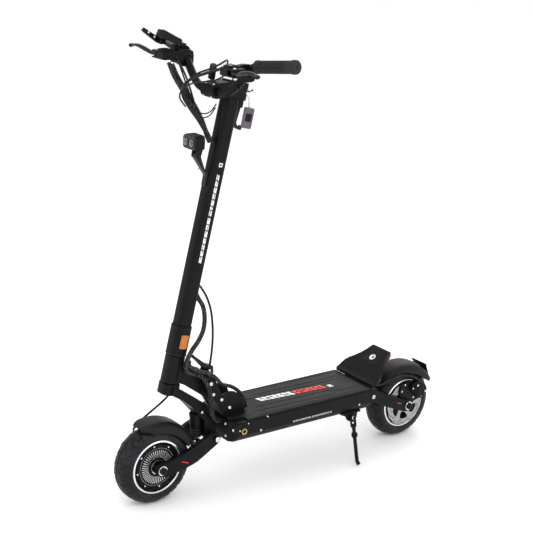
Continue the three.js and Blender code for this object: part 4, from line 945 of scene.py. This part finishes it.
# ---------------------------------------------------------------- cockpit
BAR_HALF = [
    (58, 34, 1137), (58, 58, 1139), (59, 84, 1151), (61, 112, 1174), (63, 136, 1197), (64.7, 156, 1215.5),
    (64.7, 172, 1221), (60.5, 204, 1226.25), (56.3, 236, 1231.5), (48, 300, 1242),
]
bar_line = [steer(u, -y, s) for u, y, s in reversed(BAR_HALF)] + [steer(58, 0, 1137)]
bar_line += [steer(u, y, s) for u, y, s in BAR_HALF]
piece("bar_tube", *sweep(smooth_line(bar_line, 4), 11, 32), FRAME_COAT, "steering", "handlebar", sharp=60)
refined("bar_clamp", BLACK_COAT, 1.6)
refined("folding_hook", ANODISED, 0.8)
screws("clamp_bolts", [(steer(72, y, s), STEER_AHEAD, 3.8) for y in (-18, 18) for s in (1122, 1152)],
       SCREW_STEEL, "steering")
turned("horn", [
    (0.01, -20), (8.2, -20), (9.4, -18.8), (9.4, 15), (8.8, 16.6), (9.4, 18.2), (8.4, 20), (0.01, 20),
], at(722, -30, 1168), (0.1, 0.35, 0.93), MOULDED, "steering", 40, sharp=40)


def grip(name, side, node):
    """Rubber grip: plain collars, and between them rows of raised rectangular blocks."""
    start = steer(64.7, side * 173, 1221)
    tip = steer(48, side * 300, 1242)
    axis = (tip - start).normalized()
    length = (tip - start).length / MM
    first = axis.cross(UP).normalized()
    second = axis.cross(first)
    rows, columns, verts = 250, 120, []
    for i in range(rows):
        run = length * i / (rows - 1)
        flange = 1.2 * rise(1 - abs(run - 3) / 4) + 1.6 * rise(1 - abs(run - length + 4) / 9) ** 0.5
        inside = rise(run - 14) * rise(length - 22 - run)
        cell = rise(0.5 - abs((run - 14) / 8.6 % 1 - 0.5) - 0.09, 0.06)
        for j in range(columns):
            block = cell * rise(0.5 - abs(12 * j / columns % 1 - 0.5) - 0.07, 0.06)
            radius = 16.3 + flange - inside * 1.7 * (1 - block)
            angle = 2 * math.pi * j / columns
            out = first * math.cos(angle) + second * math.sin(angle)
            verts.append(start + axis * (run * MM) + out * (radius * MM))
    cap = revolve([
        (17.6, -0.6), (17.4, 2.2), (15.8, 4.2), (12, 4.6), (5, 4.6), (3.4, 4.2), (2.8, 1), (0.01, 1),
    ], tip, axis, 64)
    root = revolve([(11.2, 0), (16.2, 0.1), (17.4, 1.2), (17.4, 2.4)], start, axis, 64)
    parts = [(verts, grid_faces(rows, columns, wrap_columns=True)), cap, root]
    return merged(name, parts, GRIP_RUBBER, "steering", replaces=node, sharp=40)


for side, half in SIDES:
    grip("grip_rubber_" + half, side, "grip_" + half)


def blade_radius(share):
    """The lever blade's half thickness along it: fuller in the middle, with a knob at its end."""
    knob = 1.8 * max(0, share - 0.92) / 0.08
    return 4.3 + 1.3 * math.sin(math.pi * min(1, share * 1.15)) - 0.4 * share + knob


BLADE = [
    (800, 179, 1197), (803, 196, 1197), (809, 223, 1204), (811, 253, 1209), (811, 276, 1208),
    (813, 290, 1205),
]
for side, half in SIDES:
    node = "brake_lever_" + half
    blade_line = smooth_line([at(x, side * y, z) for x, y, z in BLADE], 2.5)
    piece("lever_blade_" + half, *sweep(blade_line, blade_radius, 24, flat=1.35, up=UP), ANODISED, node, node,
          sharp=60)
    turned("lever_knuckle_" + half, [(0.01, -5.6), (7.4, -5.6), (8, -5), (8, 5), (7.4, 5.6), (0.01, 5.6)],
           at(800, side * 178, 1197), UP, ANODISED, node, 40, sharp=40)
    refined("lever_perch_" + half, BLACK_COAT, 1.2)
    prism("lever_reservoir_" + half, between(776, side * 136, 808, side * 167, 7), 1207, 1212.5, at,
          BLACK_COAT, "steering", bevel=1.6, segments=3)
    prism("lever_reservoir_lid_" + half, between(779, side * 139, 805, side * 164, 5), 1212.2, 1214, at,
          MOULDED, "steering", bevel=0.7)
    screws("lever_screws_" + half, [
        (at(784, side * 144, 1214), UP, 2), (at(800, side * 159, 1214), UP, 2),
        (at(800, side * 178, 1208), UP, 4),
    ], SCREW_STEEL, "steering")

POD_TURN = Matrix.Rotation(-0.46, 3, "Y")
POD_PLACE = at(776, -160, 1238)


def on_pod(a, b, h):
    return POD_PLACE + POD_TURN @ (Vector((a, b, h)) * MM)


refined("display_pod", MOULDED, 1.4)
prism("display_bezel", rectangle(32, 21.4, 12.5, 8), 9.6, 11.6, on_pod, MOULDED, "steering",
      bevel=0.9, segments=3)
prism("display_glass", between(-8, -17.5, 28.5, 17.5, 7, 8), 11.2, 12, on_pod, GLOSS_BLACK, "steering",
      bevel=0.35)
turned("mode_button_cap", [(4.9, 8), (4.9, 12), (4.2, 12.9), (2.6, 13.2), (0.01, 13.0)], on_pod(-24, -14, 0),
       POD_TURN @ UP, RED_PAINT, "mode_button", 40, replaces="mode_button", sharp=45)
turned("power_button_cap", [(5.6, 11), (5.6, 12.3), (4.9, 12.9), (0.01, 12.7)], on_pod(-24, 13, 0),
       POD_TURN @ UP, GLOSS_BLACK, "steering", 40, sharp=45)
throttle_line = smooth_line([
    at(786, -190.7, 1228), at(796, -190.8, 1235.5), at(812, -191, 1246), at(826, -191, 1255),
    at(836, -191, 1261.2),
], 1.2)
refined("throttle_paddle", MOULDED, 1.2)
bands = []
for share in (0.36, 0.72):
    i = int(share * (len(throttle_line) - 1))
    here, ahead = throttle_line[i], throttle_line[i + 1]
    bands.append(revolve([(5.2, -2.6), (6.1, -2.2), (6.1, 2.2), (5.2, 2.6)], here, ahead - here, 32))
merged("throttle_bands", bands, WHITE_PAINT, "throttle", sharp=40)
piece("throttle_stick", *sweep(throttle_line, lambda share: 5.4 - 0.8 * share, 24), MOULDED, "throttle",
      sharp=60)


# ---------------------------------------------------------------- key tags
def key_tags():
    """Two turns of a split ring, and two cards hanging from it on straps."""
    ring = []
    centre = at(706, 113, 1132)
    turns = [2 * math.pi * k / 48 for k in range(49)]
    for ahead in (0.0, 0.525):
        line = [centre + Vector((ahead, math.sin(a) * 9.4, math.cos(a) * 9.4)) * MM for a in turns]
        ring.append(sweep(line, 0.9, 12))
    merged("key_ring", ring, SILVER, "key_tags", replaces="key_tags", sharp=70)
    for k, (x, y, spin, face) in enumerate(((707, 108, 0.1, -1.6), (708, 116, -0.12, 1.3))):
        turn = Matrix.Rotation(-0.19, 3, "Y") @ Matrix.Rotation(spin, 3, "Z")

        def on_card(a, b, h):
            return at(x, y, 1070) + turn @ Vector((a, h, b)) * MM

        prism(f"key_card_{k + 1}", rectangle(13.6, 26.6, 4.6), -1.3, 1.3, on_card, CARD_FACE, "key_tags",
              bevel=0.5)
        prism(f"key_card_panel_{k + 1}", between(-9, -9, 9, 12, 4), face, face + 0.3, on_card, MOULDED,
              "key_tags", bevel=0.1)
        strap = [on_card(0, 24, 0), on_card(0.5, 30, 1), at(705, (y + 113) / 2, 1110), at(706, 113, 1123)]
        piece(f"key_strap_{k + 1}", *sweep(smooth_line(strap, 1.5), 1.1, 10), SCREW_STEEL, "key_tags",
              sharp=70)


key_tags()


# ---------------------------------------------------------------- deck
for node, material, bevel in (
    ("deck_shell", BLACK_COAT, 1.6), ("deck_lid", MAT_RUBBER, 1.0), ("charge_port", BRASS, 0.4),
    ("battery_pack", MOULDED, 1.5), ("motor_controller", MOULDED, 1.5),
):
    refined(node, material, bevel)


MAT_TOP, MARK_SLOPE = 217, 0.06


def welt(name, width, points):
    """A slim raised line on the mat, its ends running out."""
    line = smooth_line([at(x, y, MAT_TOP) for x, y in points], 3)
    verts = []
    for i, point in enumerate(line):
        out = ahead_at(line, i).cross(UP).normalized()
        share = i / (len(line) - 1)
        scale = min(1, share * 14, (1 - share) * 14)
        for a, h in ((-1, -0.4), (-0.6, 0.7), (0, 1.0), (0.6, 0.7), (1, -0.4)):
            verts.append(point + out * (a * width * 0.5 * MM) + UP * (h * 0.9 * scale * MM))
    return piece(name, verts, grid_faces(len(line), 5), MAT_RUBBER, "deck", sharp=80)


welt("mat_welt_1", 2.2, [(606, 50), (500, 55), (400, 59), (330, 61.8), (296, 63)])
welt("mat_welt_2", 2.2, [(588, 25), (500, 28), (400, 31), (318, 33.5), (296, 40), (274, 50), (210, 52)])
welt("mat_welt_3", 2.2, [(535, -48), (450, -46.4), (350, -45), (264, -44), (204, -48)])
welt("mat_welt_4", 2.2, [(512, -85), (400, -80), (300, -77), (200, -74)])
welt("mat_welt_5", 2.2, [(590, -30), (500, -28), (400, -26), (300, -25), (230, -25)])
welt("mat_welt_6", 2.2, [(606, 76), (500, 77), (400, 77), (300, 76), (220, 72)])
for side, half in SIDES:
    edge = [(640, 84.5), (500, 85.4), (350, 85.4), (205, 84.5)]
    welt("mat_edge_" + half, 3.2, [(x, side * y) for x, y in edge])


def deck_mark(start, y_start):
    """Places blocks on the mat from a point on, running back and slightly to the left."""
    def place(a, b, h):
        return at(start - a, y_start + MARK_SLOPE * a + 12 - b, MAT_TOP + 0.1 + h)

    return place


glyphs("deck_mark_white", deck_mark(531, -10), [13.6] * 7, 23, 3.8, -0.3, WHITE_PAINT, "deck", 0.9)
glyphs("deck_mark_red", deck_mark(405, -2.5), [12.6, 6] + [12.6] * 5, 23, 3.8, -0.3, RED_PAINT, "deck", 0.9)
glyphs("deck_mark_square", deck_mark(291, 5), [14], 16, 1, 0, WHITE_PAINT, "deck", 0.9)
glyphs("deck_side_mark", lambda a, b, h: at(482 - a, 89.3 + h, 173.5 + b),
       [8, 7, 8, 7, 8, 8, 8, 0.1, 8, 4, 8, 8, 8, 8, 8, 0.1, 7], 5, 1.8, 0.2, GREY_PAINT, "deck", 0.5)
prism("deck_side_slash", [(577.5, 214), (575, 214.6), (558, 199.6), (560.6, 199)], 89.3, 89.8, side_view,
      WHITE_PAINT, "deck")
for side, half in SIDES:
    prism("deck_side_panel_" + half, between(199, 182, 688, 209, 5), side * 89.2, side * 90.4, side_view,
          BLACK_COAT, "deck", bevel=0.5)
screws("deck_side_screws", [
    *both_sides((595, 89.6, 175, 3.4), (234, 89.6, 175.5, 3.4)),
    (at(640, 90.4, 205), LEFT, 2.2), (at(668, 90.2, 189), LEFT, 2.6),
], SCREW_STEEL, "deck")
screws("deck_corner_screws", [
    (at(682.8, 79.2, 190), (1, 1, 0), 4.2), (at(682.8, -79.2, 190), (1, -1, 0), 4.2),
    (at(693.1, 55, 203), (1, 0, 0), 4), (at(693.1, -44, 201), (1, 0, 0), 4),
    (at(693.1, 58, 168), (1, 0, 0), 3.6), (at(693.1, -58, 168), (1, 0, 0), 3.6),
], SILVER, "deck")
screws("deck_tail_bolts", both_sides((182, 44.2, 196, 5)), SILVER, "deck")
turned("charge_port_rim", [(6.2, -1), (6.2, 2.7), (6.7, 3.2), (8, 3.2), (8.6, 2.4), (8.6, 0), (6.2, -1)],
       at(653.5, 89.5, 184), LEFT, BRASS, "deck", 48, sharp=40)
turned("charge_port_core", [(6.1, 0.5), (5, 1.4), (1.4, 1.4), (1.2, 2.6), (0.01, 2.8)],
       at(653.5, 87.5, 184), LEFT, GLOSS_BLACK, "deck", 40, sharp=40)

refined("kickplate", BLACK_COAT, 2.2)
prism("tail_light_lens", rounded([
    (83.2, 269.6), (77, 265.8), (69.4, 283), (72.8, 290.5), (79, 277.6),
], 1.2, 3), -35, 35, side_view, RED_LENS, "deck", replaces="tail_light", bevel=0.8)
RAMP_UP = LEFT.cross((at(80, 0, 297) - at(134, 0, 260)).normalized())
RAMP_BACK = LEFT.cross(RAMP_UP)
BADGE = at(114, 0, 273.7)


def on_ramp(a, b, h):
    return BADGE + (RAMP_BACK * a + LEFT * b + RAMP_UP * h) * MM


prism("kickplate_panel", rounded([(-30, -27), (24, -35), (24, 35), (-30, 27)], 6, 4), -2, 0.5, on_ramp,
      MOULDED, "deck", bevel=0.4)
turned("kickplate_badge", [
    (0.01, -1.5), (9.9, -1.5), (10.3, 0.4), (9.8, 1.1), (8.8, 1.1), (8.4, 0.8), (0.01, 0.8),
], BADGE, RAMP_UP, WHITE_PAINT, "deck", 48, sharp=40)
prism("kickplate_badge_slot", between(-6, -1.8, 6, 1.8, 1.7), 0.6, 1.3, on_ramp, BLACK_COAT, "deck",
      bevel=0.2)
prism("kickplate_badge_arc", rounded([(-4, 3.4), (4, 3.4), (2.2, 6.4), (-2.2, 6.4)], 1.2), 0.6, 1.3, on_ramp,
      BLACK_COAT, "deck", bevel=0.2)

refined("kickstand_bracket", BLACK_COAT, 0.9)
refined("kickstand_leg", BLACK_COAT, 0.6, 40)
LEG_TILT = math.atan2(36, 140)
LEG_OUT = Vector((0, math.cos(LEG_TILT), math.sin(LEG_TILT)))
LEG_DOWN = Vector((0, math.sin(LEG_TILT), -math.cos(LEG_TILT)))
LEG_PIVOT = at(258, 92, 140)
screws("kickstand_bolts", [
    (LEG_PIVOT + LEG_OUT * (3.4 * MM), LEG_OUT, 6.2),
    (LEG_PIVOT + LEG_OUT * (3.0 * MM) + (LEG_DOWN * 14 + Vector((4, 0, 0))) * MM, LEG_OUT, 3.4),
], SILVER, "kickstand")


# ---------------------------------------------------------------- floor, light and sky
FLOOR_HALF = 40.0


def stage():
    mesh = bpy.data.meshes.new("floor")
    corners = [(x * FLOOR_HALF, y * FLOOR_HALF, 0) for x, y in ((-1, -1), (1, -1), (1, 1), (-1, 1))]
    mesh.from_pydata(corners, [], [(0, 1, 2, 3)])
    look = Look("pale_floor")
    colour = look.ramp(look.noise(1.5, 2), 0.3, 0.7, ((0.955, 0.955, 0.955), (0.97, 0.97, 0.97)))
    look.shade(Base_Color=colour, Roughness=0.85, Specular_IOR_Level=0.1)
    mesh.materials.append(look.material)
    floor = bpy.data.objects.new("floor", mesh)
    bpy.context.scene.collection.objects.link(floor)
    world = bpy.data.worlds.new("studio")
    world.use_nodes = True
    world.node_tree.nodes["Background"].inputs["Color"].default_value = (1, 1, 1, 1)
    world.node_tree.nodes["Background"].inputs["Strength"].default_value = 1.04
    bpy.context.scene.world = world
    bpy.context.scene.view_settings.view_transform = "Standard"
    for name, place, size, power, target in (
        ("key", (1.6, 2.6, 3.2), 2.6, 46, (0, 0, 0.5)),
        ("fill", (3.2, -0.6, 2.4), 2.2, 26, (0.2, 0, 0.5)),
        ("rim_light", (-2.6, -1.6, 2.8), 2.4, 36, (0, 0, 0.5)),
        ("side_light", (-1.2, 3.2, 1.4), 1.8, 20, (-0.2, 0, 0.2)),
    ):
        data = bpy.data.lights.new(name, "AREA")
        data.size = size
        data.energy = power
        lamp = bpy.data.objects.new(name, data)
        lamp.location = place
        lamp.rotation_euler = (Vector(target) - Vector(place)).to_track_quat("-Z", "Y").to_euler()
        bpy.context.scene.collection.objects.link(lamp)


stage()
